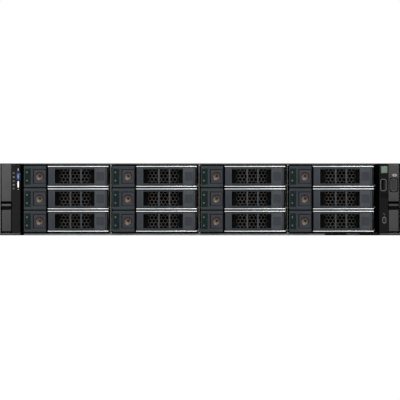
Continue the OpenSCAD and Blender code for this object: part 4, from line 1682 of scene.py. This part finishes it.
@dataclass
class ControlEar(RackEar):
    """The left ear, with the ID button, the status bar and their signs."""

    side: Side = Side.LEFT
    paint: Finish = EAR_PAINT_LEFT
    latch_paint: Finish = LATCH_PAINT_LEFT
    lip_paint: Finish = LIP_HIGHLIGHT_LEFT
    rim_paint: Finish = RIM_PAINT_LEFT
    strip_paint: Finish = STRIP_LEFT
    strip_in: float = 216.05
    strip_out: float = 226.4
    plate_in: float = 226.95
    plate_out: float = 238.6
    wing_in: float = 212.25
    wing_foot: float = 212.25
    id_x: float = 218.55
    id_z: float = 71.1
    bar_z: float = 61.4
    lamp_x: float = 223.9

    def build(self) -> None:
        """Builds the ear, its strip, its lenses and its signs."""
        super().build()
        self.add("ear_plate", self.plate(), self.paint, replaces=["left_ear"])
        pocket = Shape().plate(shifted(round_rect(4.6, 10.0, 2.25, 6), self.id_x, self.id_z), -19, -13)
        self.add("ear_strip", self.strip(pocket), self.strip_paint)
        self.add("ear_id_surround", self.surround(), ID_SURROUND)
        bar = Shape().plate(shifted(round_rect(1.45, 7.8, 0.7, 6), self.id_x, self.bar_z), -18.25, -17.6)
        self.add("ear_status_bar", bar.rounded(0.1, 1), control_lens(BAR_WHITE, -self.id_x, self.bar_z))
        self.add("ear_marks", self.marks(), SIGN_WHITE)
        self.add("ear_dim_lamps", self.lamps((75.0, 65.4, 56.4)), SIGN_DIM)
        self.add("ear_pale_lamps", self.lamps((70.1, 60.8)), LAMP_PALE)
        glow = control_lens(ID_BLUE, -self.id_x, self.id_z)
        self.add("id_lens", self.id_lens(), glow, "id_button", ["id_button"])

    def id_lens(self) -> Shape:
        """Models the domed oval lens of the ID button."""
        outline = shifted(round_rect(4.0, 9.4, 1.95, 8), self.id_x, self.id_z)
        return Shape().plate(outline, -18.4, -15.2).rounded(0.6, 3)

    def surround(self) -> Shape:
        """Models the oval ring of deep blue around the lens."""
        shape = Shape().plate(shifted(round_rect(5.5, 10.9, 2.7, 8), self.id_x, self.id_z), -18.12, -17.9)
        hole = Shape().plate(shifted(round_rect(4.3, 9.7, 2.1, 8), self.id_x, self.id_z), -19, -17)
        return shape.carve(hole)

    def marks(self) -> Shape:
        """Models the small pointer above the button and the dot below the bar.

        Returns:
            The pointer and the dot.
        """
        y0, y1 = self.strip_y - 0.06, self.strip_y + 0.1
        pointer = [(self.id_x - 0.75, 78.0), (self.id_x + 0.75, 78.0),
                   (self.id_x + 0.2, 81.0), (self.id_x - 0.2, 81.0)]
        shape = Shape().plate(pointer, y0, y1)
        return shape.plate(shifted(round_rect(1.3, 0.6, 0.25, 2), self.id_x - 0.1, 55.4), y0, y1)

    def lamps(self, heights: Sequence[float]) -> Shape:
        """Models some of the column of unlit warning lamps.

        Args:
            heights: How high each lamp is.

        Returns:
            The lamps.
        """
        shape = Shape()
        for z in heights:
            shape.plate(shifted(round_rect(2.2, 1.9, 0.6, 3), self.lamp_x, z),
                        self.strip_y - 0.05, self.strip_y + 0.1)
        return shape


@dataclass
class PortEar(RackEar):
    """The right ear, with the power button and the front ports."""

    side: Side = Side.RIGHT
    paint: Finish = EAR_PAINT_RIGHT
    latch_paint: Finish = LATCH_PAINT_RIGHT
    lip_paint: Finish = LIP_PAINT_RIGHT
    rim_paint: Finish = STRIP_RIGHT
    strip_paint: Finish = STRIP_RIGHT
    strip_in: float = 215.65
    strip_out: float = 226.3
    plate_in: float = 226.65
    plate_out: float = 239.0
    wing_in: float = 210.95
    wing_foot: float = 213.95
    power_x: float = 221.55
    power_z: float = 79.1
    port_x: float = 220.5
    port_z: float = 60.7
    video_x: float = 233.0
    screen: Pair = (233.9, 72.5)
    service_x: float = 221.6
    service_z: float = 18.4

    def build(self) -> None:
        """Builds the ear, its strip, its button, its ports and their signs."""
        super().build()
        opening = shifted(round_rect(10.4, 17.6, 3.0, 6), self.video_x, self.port_z)
        plate = self.plate(Shape().plate(opening, -30, -16.5))
        self.add("ear_plate", plate, self.paint, replaces=["right_ear"])
        x, z = self.power_x, self.power_z
        holes = Shape().box((x - 4.15, -30, z - 4.3), (x + 4.15, -13, z + 4.3))
        holes.box((self.inner + 1, -30, 45.4), (self.strip_out - 0.3, -17.2, 51.2))
        data_x, data_z = self.port_x, self.port_z
        holes.plate(shifted(round_rect(7.5, 14.8, 2.6, 6), data_x, data_z), -30, -8)
        holes.plate(shifted(self.hexagon(2.4, 4.5), self.service_x, self.service_z), -30, -16)
        self.add("ear_strip", self.strip(holes), self.strip_paint)
        shell = self.ring(round_rect(7.2, 14.3, 2.4, 6), round_rect(5.8, 12.9, 1.8, 6), -18.45, -9.2)
        self.add("ear_data_port", self.at_port(shell, data_x, data_z), PORT_STEEL)
        tongue = Shape().box((data_x + 0.3, -17.6, data_z - 5.2), (data_x + 1.9, -9.4, data_z + 5.2))
        tongue.box((data_x - 3.5, -9.6, data_z - 7.1), (data_x + 3.5, -9.2, data_z + 7.1))
        self.add("ear_data_port_tongue", tongue, PORT_CORE)
        # A black plate behind the video port's shell, painted as the shade in the gap around it.
        back = Shape().plate(
            shifted(round_rect(10.3, 17.5, 2.9, 6), self.video_x, self.port_z), -17.0, -16.6)
        self.add("ear_video_port_gap", back, SHADE_BLACK)
        shell = self.ring(round_rect(7.9, 15.1, 2.5, 6), round_rect(6.9, 14.1, 1.9, 6), -19.3, -16.9)
        self.add("ear_video_port", self.at_port(shell, self.video_x, self.port_z), PORT_DULL)
        self.add("ear_video_port_core", self.video_core(), VIDEO_CORE)
        shell = self.ring(self.hexagon(2.3, 4.4), self.hexagon(1.55, 3.2), -18.25, -16.1)
        self.add("ear_service_port", self.at_port(shell, self.service_x, self.service_z), PORT_DULL)
        tool_x, tool_z = self.service_x, self.service_z
        pin = Shape().box((tool_x - 0.5, -17.7, tool_z - 1.9), (tool_x + 0.5, -16.05, tool_z + 1.9))
        self.add("ear_service_port_core", pin.rounded(0.15, 1), VIDEO_CORE)
        # The black slot in the strip is painted shade inside the opening.
        slot = Shape().box((self.inner + 1.1, -17.35, 45.5), (self.strip_out - 0.4, -17.15, 51.1))
        self.add("ear_strip_slot", slot, SHADOW_BLACK)
        self.add("ear_marks", self.marks(), SIGN_PALE)
        self.add("ear_small_marks", self.small_marks(), SIGN_DIM)
        lens = Shape().box((x - 3.65, -18.4, z - 3.9), (x + 3.65, -14.6, z + 3.9))
        glow = control_lens(POWER_GREEN, x, z)
        self.add("power_lens", lens.rounded(0.5, 3), glow, "power_button", ["power_button"])

    @staticmethod
    def hexagon(half_w: float, half_h: float) -> list[Pair]:
        """Works out a tall six-sided outline.

        Args:
            half_w: Half its width.
            half_h: Half its height.

        Returns:
            Its corners.
        """
        shoulder = half_h - half_w * 0.75
        return [(0, half_h), (-half_w, shoulder), (-half_w, -shoulder),
                (0, -half_h), (half_w, -shoulder), (half_w, shoulder)]

    @staticmethod
    def ring(outer: list[Pair], inner: list[Pair], front: float, back: float) -> Shape:
        """Models a port's metal shell about zero, as a tube between two outlines.

        Args:
            outer: Its outer outline.
            inner: Its inner outline.
            front: The depth of its front edge.
            back: The depth of its back edge.

        Returns:
            The shell.
        """
        hole = Shape().plate(inner, front - 1, back + 1)
        return Shape().plate(outer, front, back).carve(hole).rounded(0.15, 2)

    @staticmethod
    def at_port(shape: Shape, x: float, z: float) -> Shape:
        """Moves a shape made about zero to its port.

        Args:
            shape: The shape.
            x: The port's middle along X.
            z: The port's middle along Z.

        Returns:
            The moved shape.
        """
        bmesh.ops.translate(shape.bm, verts=shape.bm.verts, vec=(x, 0, z))
        return shape

    def video_core(self) -> Shape:
        """Models the video port's insulator with its rows of pin holes.

        Returns:
            The insulator.
        """
        shape = Shape().plate(
            shifted(round_rect(6.8, 14.0, 1.8, 5), self.video_x, self.port_z), -18.7, -17.1)
        pins = Shape().rod((0, -19.6, 0), Axis.Y, 0.42, 1.6, sides=10)
        pins.repeated([(self.video_x + dx, 0, self.port_z + (k - 2) * 2.5 + (0.6 if dx == 0 else 0))
                       for dx in (-2.1, 0.0, 2.1) for k in range(5)])
        return shape.carve(pins)

    def marks(self) -> Shape:
        """Models the plain screen sign over the video port.

        Returns:
            The sign.
        """
        y0, y1 = -self.reach - 0.06, -self.reach + 0.2
        shape = Shape().plate(shifted(round_rect(5.0, 2.9, 0.9, 3), *self.screen), y0, y1)
        glass = Shape().plate(shifted(round_rect(2.8, 1.1, 0.4, 3), *self.screen), y0 - 1, y1 + 1)
        return shape.carve(glass)

    def small_marks(self) -> Shape:
        """Models the plain tool sign over the service port.

        Returns:
            The sign.
        """
        y0, y1 = self.strip_y - 0.06, self.strip_y + 0.1
        shape = Shape().plate(round_rect(3.2, 0.7, 0.3, 3), y0, y1).turn(48, Axis.Y)
        return shape.repeated([(self.service_x - 0.1, 0, 25.5)])


@dataclass
class InfoTag:
    """The pull-out information tag under the right-hand bays."""

    tab_x: Pair = (25.5, 40.7)

    def build(self) -> None:
        """Builds the card, its bezel and its blank tab from the CAD node's box."""
        low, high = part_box("info_tag")
        x0, x1 = low[0] / MM, high[0] / MM
        y0, y1 = low[1] / MM, high[1] / MM
        card = Shape().box((x0, y0 + 3.0, 1.5), (x1, y1, 2.3))
        bezel = Shape().box((x0, y0 + 0.8, 0.05), (x1, y0 + 2.9, 3.3)).rounded(0.3, 2)
        left, right = (x0 + x for x in self.tab_x)
        tab = Shape().box((left, y0, 0.65), (right, y0 + 1.0, 2.55)).rounded(0.2, 2)
        parts = (
            ("card", card, TAG_BLACK, ["info_tag"]),
            ("bezel", bezel, TAG_BLACK, []),
            ("tab", tab, TAG_TAB, []),
        )
        for name, shape, finish, nodes in parts:
            place_shape(shape, f"info_tag_{name}", finish, "info_tag", replaces=nodes)


# ---- Boards, power and covers ----


@dataclass(frozen=True)
class Share:
    """The loose parts of a CAD node that have one finish, picked by their boxes."""

    name: str
    finish: Finish
    picks: Callable[[Vector, Vector], bool]
    edge: float = 0.0


def any_part(low: Vector, high: Vector) -> bool:
    """Picks every loose part that no earlier share took."""
    return True


def is_wide(low: Vector, high: Vector) -> bool:
    """Picks the loose parts that reach from side to side."""
    return high.x - low.x > 400


def is_long(low: Vector, high: Vector) -> bool:
    """Picks the loose parts that run far from front to back."""
    return high.y - low.y > 100


def is_slim(low: Vector, high: Vector) -> bool:
    """Picks the loose parts that are no wider than a standoff."""
    return high.x - low.x < 8


@dataclass
class SharedSkin:
    """A CAD node shown as it is, with a finish of its own for each kind of loose part."""

    node: str
    shares: Sequence[Share]
    body: str = CHASSIS

    def build(self) -> None:
        """Gives each loose part to the first share that picks it, and makes a piece of each share."""
        whole = cad_shape(self.node)
        whole.bm.verts.index_update()
        owner = {}
        for group in part_groups(whole.bm):
            low, high = corners(v.co for v in group)
            name = next(share.name for share in self.shares if share.picks(low, high))
            owner.update({v.index: name for v in group})
        first = [self.node]
        for share in self.shares:
            shape = Shape()
            shape.bm = whole.bm.copy()
            shape.bm.verts.index_update()
            others = [v for v in shape.bm.verts if owner[v.index] != share.name]
            bmesh.ops.delete(shape.bm, geom=others, context="VERTS")
            if share.edge > 0:
                shape.rounded(share.edge, 1, 50)
            place_shape(shape, f"{self.node}_{share.name}", share.finish, self.body, replaces=first)
            first = []
        whole.bm.free()


@dataclass
class MainBoard:
    """The main board with all that is soldered or plugged on it."""

    node: str = "main_board"
    chip: Triple = (0.9, 11.0, 9.0)
    chips: int = 9
    socket_half: float = 3.0
    socket_h: float = 5.0
    mouth_rim: Triple = (2.0, 2.1, 2.9)
    part_pitch: float = 17.0

    @staticmethod
    def is_memory(low: Vector, high: Vector) -> bool:
        """Tells whether a loose part is a memory module."""
        return high.x - low.x < 2 and high.y - low.y > 100

    @staticmethod
    def is_board(low: Vector, high: Vector) -> bool:
        """Tells whether a loose part is a bare circuit board."""
        return high.z - low.z < 2 and high.y - low.y > 100 or high.y - low.y < 2.2 and high.z - low.z > 60

    @staticmethod
    def is_sink(low: Vector, high: Vector) -> bool:
        """Tells whether a loose part is a heatsink."""
        return high.x - low.x > 70 and high.z - low.z > 50

    @staticmethod
    def is_jack(low: Vector, high: Vector) -> bool:
        """Tells whether a loose part belongs to a rear jack."""
        return low.y > 300

    def chip_rows(self, modules: Sequence[Corners]) -> Shape:
        """Models the chips on both faces of the memory modules.

        Args:
            modules: The modules' boxes.

        Returns:
            The chips.
        """
        shape = Shape()
        depth, wide, tall = self.chip
        for low, high in modules:
            step = (high.y - low.y - 8) / self.chips
            middle = (low.z + high.z) / 2 + 3
            for k in range(self.chips):
                y = low.y + 4 + (k + 0.5) * step
                for x0, x1 in ((low.x - depth, low.x), (high.x, high.x + depth)):
                    shape.box((x0, y - wide / 2, middle - tall / 2), (x1, y + wide / 2, middle + tall / 2))
        return shape

    def sockets(self, modules: Sequence[Corners]) -> Shape:
        """Models the long sockets that hold the memory modules, with their end levers.

        Args:
            modules: The modules' boxes.

        Returns:
            The sockets.
        """
        shape = Shape()
        for low, high in modules:
            middle = (low.x + high.x) / 2
            for x0, x1 in ((middle - self.socket_half, low.x - 0.05),
                           (high.x + 0.05, middle + self.socket_half)):
                shape.box((x0, low.y - 4, low.z), (x1, high.y + 4, low.z + self.socket_h))
            for y0, y1 in ((low.y - 6, low.y - 0.1), (high.y + 0.1, high.y + 6)):
                shape.box((middle - 2.2, y0, low.z), (middle + 2.2, y1, low.z + 20))
        return shape.rounded(0.3, 1)

    def mouths(self, jacks: Sequence[Corners]) -> list[Corners]:
        """Works out the hollow in front of each jack's block.

        Args:
            jacks: The boxes of all the jacks' loose parts.

        Returns:
            The hollows' boxes.
        """
        face = max(high.y for _, high in jacks)
        first = min(low.y for low, _ in jacks)
        side, floor, roof = self.mouth_rim
        return [(Vector((low.x + side, high.y + 0.1, low.z + floor)),
                 Vector((high.x - side, face, high.z - roof)))
                for low, high in jacks if low.y - first < 1 and high.y - low.y > 5]

    def linings(self, mouths: Sequence[Corners]) -> Shape:
        """Models the dark floors and tongues of the jacks.

        Args:
            mouths: The jacks' hollows.

        Returns:
            The linings.
        """
        shape = Shape()
        for low, high in mouths:
            shape.box((low.x + 0.05, low.y, low.z + 0.05), (high.x - 0.05, low.y + 0.3, high.z - 0.05))
            wide, tall = high.x - low.x, high.z - low.z
            if wide < tall:
                for share in (0.27, 0.77):
                    z = low.z + tall * share
                    shape.box((low.x + 1, low.y + 0.3, z - 0.9), (high.x - 1, high.y - 2, z + 0.9))
            elif wide > 20:
                pins = Shape().rod((0, low.y - 0.5, 0), Axis.Y, 0.5, 1.8, sides=12)
                holes = [(low.x + wide * (0.2 + 0.15 * k), 0, low.z + tall * (0.25 + 0.25 * row))
                         for row in range(3) for k in range(5)]
                insert = Shape().box(
                    (low.x + 3, low.y + 0.3, low.z + 0.6), (high.x - 3, high.y - 0.3, high.z - 0.6))
                shape.add(insert.carve(pins.repeated(holes)))
            else:
                shape.box((low.x + 3.5, low.y + 0.3, low.z + 0.1), (high.x - 3.5, high.y - 5, low.z + 1.6))
        return shape

    def contacts(self, mouths: Sequence[Corners]) -> Shape:
        """Models the row of sprung gold contacts in each network jack.

        Args:
            mouths: The jacks' hollows.

        Returns:
            The contacts.
        """
        shape = Shape()
        for low, high in mouths:
            if not high.z - low.z < high.x - low.x < 20:
                continue
            middle = (low.x + high.x) / 2
            for k in range(8):
                x = middle + (k - 3.5) * 1.02
                shape.box((x - 0.2, low.y + 0.4, high.z - 2.6), (x + 0.2, low.y + 8, high.z - 2.2))
        return shape

    def soldered(self, board: Corners, taken: Sequence[Corners]) -> tuple[Shape, Shape]:
        """Models rows of chips and capacitors wherever the board is free.

        Args:
            board: The board's box.
            taken: The boxes of what already stands on it.

        Returns:
            The black chips and the bright capacitors.
        """
        low, high = board
        top = high.z + 0.02
        chips, cans = Shape(), Shape()
        pitch = self.part_pitch
        for row in range(int((high.y - low.y - 20) / pitch)):
            for column in range(int((high.x - low.x - 16) / pitch)):
                x, y = low.x + 14 + column * pitch, low.y + 12 + row * pitch
                if any(a.x - 9 < x < b.x + 9 and a.y - 9 < y < b.y + 9 for a, b in taken):
                    continue
                kind = (3 * row + 5 * column) % 7
                if kind < 2:
                    half = 5.5 - 2 * kind
                    chips.box((x - half, y - half, top), (x + half, y + half, top + 1.4))
                elif kind < 4:
                    cans.rod((x, y, top), Axis.Z, 3.0 + 0.6 * (kind - 2), 8.0, sides=20)
                elif kind < 6:
                    chips.box((x - 1.2, y - 6, top), (x + 1.2, y + 6, top + 3.5))
        return chips.rounded(0.15, 1), cans.rounded(0.5, 2)

    def build(self) -> None:
        """Builds the board's skin, then what is too small for the CAD."""
        boxes = part_boxes(self.node)
        modules = [box for box in boxes if self.is_memory(*box)]
        jacks = [box for box in boxes if self.is_jack(*box)]
        board = max((box for box in boxes if self.is_board(*box)), key=lambda box: box[1].y - box[0].y)
        taken = [box for box in boxes if not self.is_board(*box)]
        SharedSkin(self.node, (
            Share("boards", BOARD_GREEN, self.is_board),
            Share("heatsinks", SINK_METAL, self.is_sink, 0.15),
            Share("memory", MEMORY_GREEN, self.is_memory),
            Share("jacks", JACK_METAL, self.is_jack, 0.15),
            Share("power_sockets", SOCKET_BLACK, any_part, 0.3),
        )).build()
        place_shape(self.chip_rows(modules), "memory_chips", CHIP_BLACK)
        place_shape(self.sockets(modules), "memory_sockets", SOCKET_BLACK)
        mouths = self.mouths(jacks)
        place_shape(self.linings(mouths), "jack_linings", CHIP_BLACK)
        place_shape(self.contacts(mouths), "jack_contacts", CONTACT_GOLD)
        chips, cans = self.soldered(board, taken)
        place_shape(chips, "board_chips", CHIP_BLACK)
        place_shape(cans, "board_capacitors", CAN_METAL)


@dataclass
class PowerSupply:
    """A plug-in power supply, modelled about the middle of its rear face and placed by its CAD node."""

    number: int
    width: float = 73.5
    depth: float = 185.0
    handle: float = 35.0
    inlet: Triple = (-19.75, 24.0, 16.0)
    inlet_d: float = 18.0
    grip_x: float = 8.0
    grip_w: float = 34.0
    bar: float = 4.0
    fan_r: float = 15.0
    lever_y: float = -24.0

    def case(self, height: float) -> Shape:
        """Models the steel case with its inlet, its lever's groove and its fan opening.

        Args:
            height: The case's height.

        Returns:
            The case.
        """
        x, wide, tall = self.inlet
        shape = Shape().box((-self.width / 2, -self.depth, -height / 2), (self.width / 2, 0, height / 2))
        holes = Shape().box((x - wide / 2, -self.inlet_d, -tall / 2), (x + wide / 2, 1, tall / 2))
        holes.box((self.width / 2 - 6, self.lever_y - 4, -5), (self.width / 2 + 1, 1, 5))
        holes.rod((self.grip_x, -1.2, 0), Axis.Y, self.fan_r, 3, sides=48)
        slots = Shape().box((-22, -self.depth - 1, -1.2), (-16, -self.depth + 2, 1.2))
        holes.add(slots.repeated([(k * 9, 0, row * 6) for k in range(6) for row in range(-2, 3)]))
        return shape.carve(holes).rounded(0.3, 2)

    def grille(self) -> Shape:
        """Models the wire rings and spokes over the fan opening.

        Returns:
            The rings and the spokes.
        """
        shape = Shape()
        for radius in (4.0, 7.5, 11.0, 14.4):
            inner, outer = radius - 0.45, radius + 0.45
            outline = ((inner, -0.95), (outer, -0.95), (outer, -0.1), (inner, -0.1))
            shape.turned(outline, (self.grip_x, 0, 0), 40)
        for angle in (45, 135):
            spoke = Shape().box((-14.6, -1.15, -0.4), (14.6, -0.9, 0.4)).turn(angle, Axis.Y)
            shape.add(spoke.repeated([(self.grip_x, 0, 0)]))
        return shape

    def grip(self) -> Shape:
        """Models the black U-shaped grip with round edges.

        Returns:
            The grip.
        """
        half = self.grip_w / 2
        shape = Shape().box((self.grip_x - half, -1.1, -3), (self.grip_x + half, self.handle, 3))
        inside = Shape().box(
            (self.grip_x - half + self.bar, -3, -4), (self.grip_x + half - self.bar, self.handle - 5, 4))
        return shape.carve(inside).rounded(1.2, 3)

    def inlet_parts(self) -> tuple[Shape, Shape]:
        """Models the inlet's black lining and its three blades.

        Returns:
            The lining and the blades.
        """
        x, wide, tall = self.inlet
        lining = Shape().box((x - wide / 2 + 0.05, -self.inlet_d + 0.05, -tall / 2 + 0.05),
                             (x + wide / 2 - 0.05, -0.1, tall / 2 - 0.05))
        hollow = Shape().plate(shifted(round_rect(wide - 3, tall - 3, 3, 4), x, 0), -self.inlet_d + 1.5, 1)
        blades = Shape()
        for dx, z in ((-7, -2), (7, -2), (0, 3)):
            blades.box((x + dx - 0.9, -self.inlet_d + 1, z - 2), (x + dx + 0.9, -6, z + 2))
        return lining.carve(hollow), blades.rounded(0.25, 1)

    def hub(self) -> Shape:
        """Models the fan's dark floor and hub behind the grille."""
        shape = Shape().rod((self.grip_x, -1.19, 0), Axis.Y, self.fan_r - 0.1, 0.04, sides=40)
        return shape.rod((self.grip_x, -1.15, 0), Axis.Y, 5.0, 0.1, sides=32)

    def build(self) -> None:
        """Builds the supply's pieces in its bay."""
        body = f"psu_{self.number}"
        low, high = (Vector(p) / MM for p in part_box(body))
        rear = high.y - self.handle
        place = ((low.x + high.x) / 2, rear, (low.z + high.z) / 2)
        lining, blades = self.inlet_parts()
        parts = (
            ("case", self.case(high.z - low.z), SUPPLY_CASE, [body]),
            ("grille", self.grille(), CONTACT_STEEL, []),
            ("grip", self.grip(), GRIP_BLACK, []),
            ("inlet", lining, SOCKET_BLACK, []),
            ("blades", blades, CONTACT_STEEL, []),
            ("fan", self.hub(), CHIP_BLACK, []),
        )
        for name, shape, finish, nodes in parts:
            place_shape(shape, f"{body}_{name}", finish, body, place, nodes)


@dataclass
class Cover:
    """A top cover with pressed grooves that stiffen it."""

    node: str
    grooves: Sequence[Triple]
    groove_w: float = 9.0
    groove_d: float = 0.45
    body: str = CHASSIS

    def build(self) -> None:
        """Copies the cover, presses its grooves and rounds its edges."""
        shape = cad_shape(self.node)
        top = max(v.co.z for v in shape.bm.verts)
        cutter = Shape()
        for x, y, length in self.grooves:
            part = Shape().plate(round_rect(self.groove_w, length, self.groove_w / 2 - 0.05, 8), -1, 1)
            part.turn(90, Axis.X)
            cutter.add(part.repeated([(x, y, top + 1 - self.groove_d)]))
        shape.carve(cutter).rounded(0.2, 1, 50)
        place_shape(shape, f"{self.node}_sheet", COVER_STEEL, self.body, replaces=[self.node])


def inner_skins() -> list[SharedSkin]:
    """Lists the CAD nodes whose loose parts have finishes of their own.

    Returns:
        The skins, one for each node.
    """
    return [
        SharedSkin("backplane", (
            Share("board", BOARD_GREEN, is_wide),
            Share("cables", CABLE_BLACK, is_long),
            Share("drive_sockets", SOCKET_BLACK, any_part, 0.3),
        )),
        SharedSkin("fan_frames", (
            Share("bulkhead", GALVANISED, is_wide),
            Share("frames", FRAME_PLASTIC, any_part),
        )),
        SharedSkin("chassis_base", (
            Share("standoffs", SCREW_STEEL, is_slim),
            Share("sheets", GALVANISED, any_part, 0.2),
        )),
    ]


def plain_skin(node: str, finish: Finish, edge: float, body: str = CHASSIS) -> SharedSkin:
    """Shows a CAD node as it is, with one finish and its edges rounded."""
    return SharedSkin(node, (Share("skin", finish, any_part, edge),), body)


def plain_skins() -> list[SharedSkin]:
    """Lists the CAD nodes that are shown as they are.

    Returns:
        The skins, one for each node.
    """
    skins = [
        plain_skin("drive_cage", CAGE_STEEL, 0.1),
        plain_skin("cover_latch", TOUCH_BLUE, 0.4, "cover_latch"),
        plain_skin("slot_covers", PLATED, 0.12),
        plain_skin("screws", SCREW_STEEL, 0.15),
    ]
    skins += [plain_skin(f"fan_rotor_{k}", FAN_PLASTIC, 0, f"fan_rotor_{k}") for k in (1, 2, 3)]
    skins += [plain_skin(f"psu_latch_{k}", RELEASE_RED, 0.3, f"psu_latch_{k}") for k in (1, 2)]
    return skins


# ---- Studio ----


@dataclass
class Studio:
    """The floor, the light and the camera."""

    face_width: float = 0.4808
    face_y: float = (RACK_Y - 19) * MM
    eye_z: float = 0.04265
    lens: float = 500.0
    sensor: float = 36.0
    ambient: float = 0.42
    floor_glow: float = 0.66

    def floor(self) -> None:
        """Lays a wide pale floor that reads as white and keeps the object's shadow."""
        shape = Shape()
        bmesh.ops.create_circle(shape.bm, cap_ends=True, segments=64, radius=40000.0)
        data = shape.mesh("floor")
        data.transform(Matrix.Scale(MM, 4) @ Matrix.Translation((0, 0, -0.2)))
        graph = Graph("floor_white")
        graph.shader.inputs["Roughness"].default_value = 0.9
        graph.shader.inputs["Specular IOR Level"].default_value = 0.0
        graph.feed("Base Color", graph.ramp(graph.noise(3.0), (0.80, 0.80, 0.80), (0.82, 0.82, 0.82)))
        graph.shader.inputs["Emission Color"].default_value = (1, 1, 1, 1)
        graph.feed("Emission Strength", self.seen(graph.tree, self.floor_glow))
        data.materials.append(graph.material)
        floor = put_in_scene("floor", data)

    @staticmethod
    def seen(tree: bpy.types.NodeTree, strength: float) -> Socket:
        """Adds a strength that only camera, glossy and transmission rays see.

        Args:
            tree: The node tree.
            strength: The strength that they see.

        Returns:
            The strength.
        """
        rays = tree.nodes.new("ShaderNodeLightPath")
        total = None
        for name in ("Is Camera Ray", "Is Glossy Ray", "Is Transmission Ray"):
            if total is None:
                total = rays.outputs[name]
                continue
            node = tree.nodes.new("ShaderNodeMath")
            node.operation = "ADD"
            node.use_clamp = True
            tree.links.new(total, node.inputs[0])
            tree.links.new(rays.outputs[name], node.inputs[1])
            total = node.outputs["Value"]
        node = tree.nodes.new("ShaderNodeMath")
        node.operation = "MULTIPLY"
        node.inputs[1].default_value = strength
        tree.links.new(total, node.inputs[0])
        return node.outputs["Value"]

    def world(self) -> None:
        """Makes a white surround for the camera and a softer one for the light."""
        world = bpy.data.worlds.new("studio")
        bpy.context.scene.world = world
        world.use_nodes = True
        tree = world.node_tree
        back = tree.nodes["Background"]
        back.inputs["Color"].default_value = (1, 1, 1, 1)
        node = tree.nodes.new("ShaderNodeMath")
        node.operation = "ADD"
        node.inputs[1].default_value = self.ambient
        tree.links.new(self.seen(tree, 1 - self.ambient), node.inputs[0])
        tree.links.new(node.outputs["Value"], back.inputs["Strength"])

    def lamp(self, name: str, at: Point, size: Pair, power: float) -> None:
        """Hangs a soft lamp that faces the unit.

        Args:
            name: The lamp's name.
            at: Its place, in metres.
            size: Its width and height, in metres.
            power: Its power, in watts.
        """
        light = bpy.data.lights.new(name, "AREA")
        light.shape = "RECTANGLE"
        light.size, light.size_y = size
        light.energy = power
        lamp = put_in_scene(name, light)
        lamp.location = at
        lamp.rotation_euler = (Vector((0, 0, 0.04)) - Vector(at)).to_track_quat("-Z", "Y").to_euler()

    def camera(self) -> None:
        """Sets up a long lens straight in front of the face."""
        data = bpy.data.cameras.new("camera")
        data.lens = self.lens
        data.sensor_width = self.sensor
        data.clip_end = 60.0
        distance = self.face_width * self.lens / self.sensor
        camera = put_in_scene("camera", data)
        camera.location = (0, self.face_y - distance, self.eye_z)
        camera.rotation_euler = (math.pi / 2, 0, 0)
        bpy.context.scene.camera = camera

    def build(self) -> None:
        """Builds the whole studio."""
        bpy.context.scene.view_settings.view_transform = "Standard"
        self.camera()
        self.floor()
        self.world()
        self.lamp("key", (0.9, -2.6, 2.4), (1.6, 1.0), 60.0)
        self.lamp("fill", (-1.8, -2.2, 1.1), (1.2, 1.2), 22.0)
        self.lamp("back", (0.4, 2.8, 1.6), (2.0, 1.4), 12.0)


# ---- The whole unit ----


def main() -> None:
    """Builds the unit and its studio, one sub-assembly after another."""
    logging.basicConfig(level=logging.WARNING, format="%(name)s: %(message)s")
    Studio().build()
    DriveBays().build()
    FrontEdges().build()
    FingerStrips().build()
    ControlEar().build()
    PortEar().build()
    InfoTag().build()
    MainBoard().build()
    for number in (1, 2):
        PowerSupply(number).build()
    Cover("front_cover", [(x, -275.0, 120.0) for x in (-150, -75, 0, 75, 150)]).build()
    Cover("rear_cover", [(x, 190.0, 220.0) for x in (-160, -80, 0, 80, 160)], body="rear_cover").build()
    for skin in inner_skins() + plain_skins():
        skin.build()


if __name__ == "__main__":
    main()
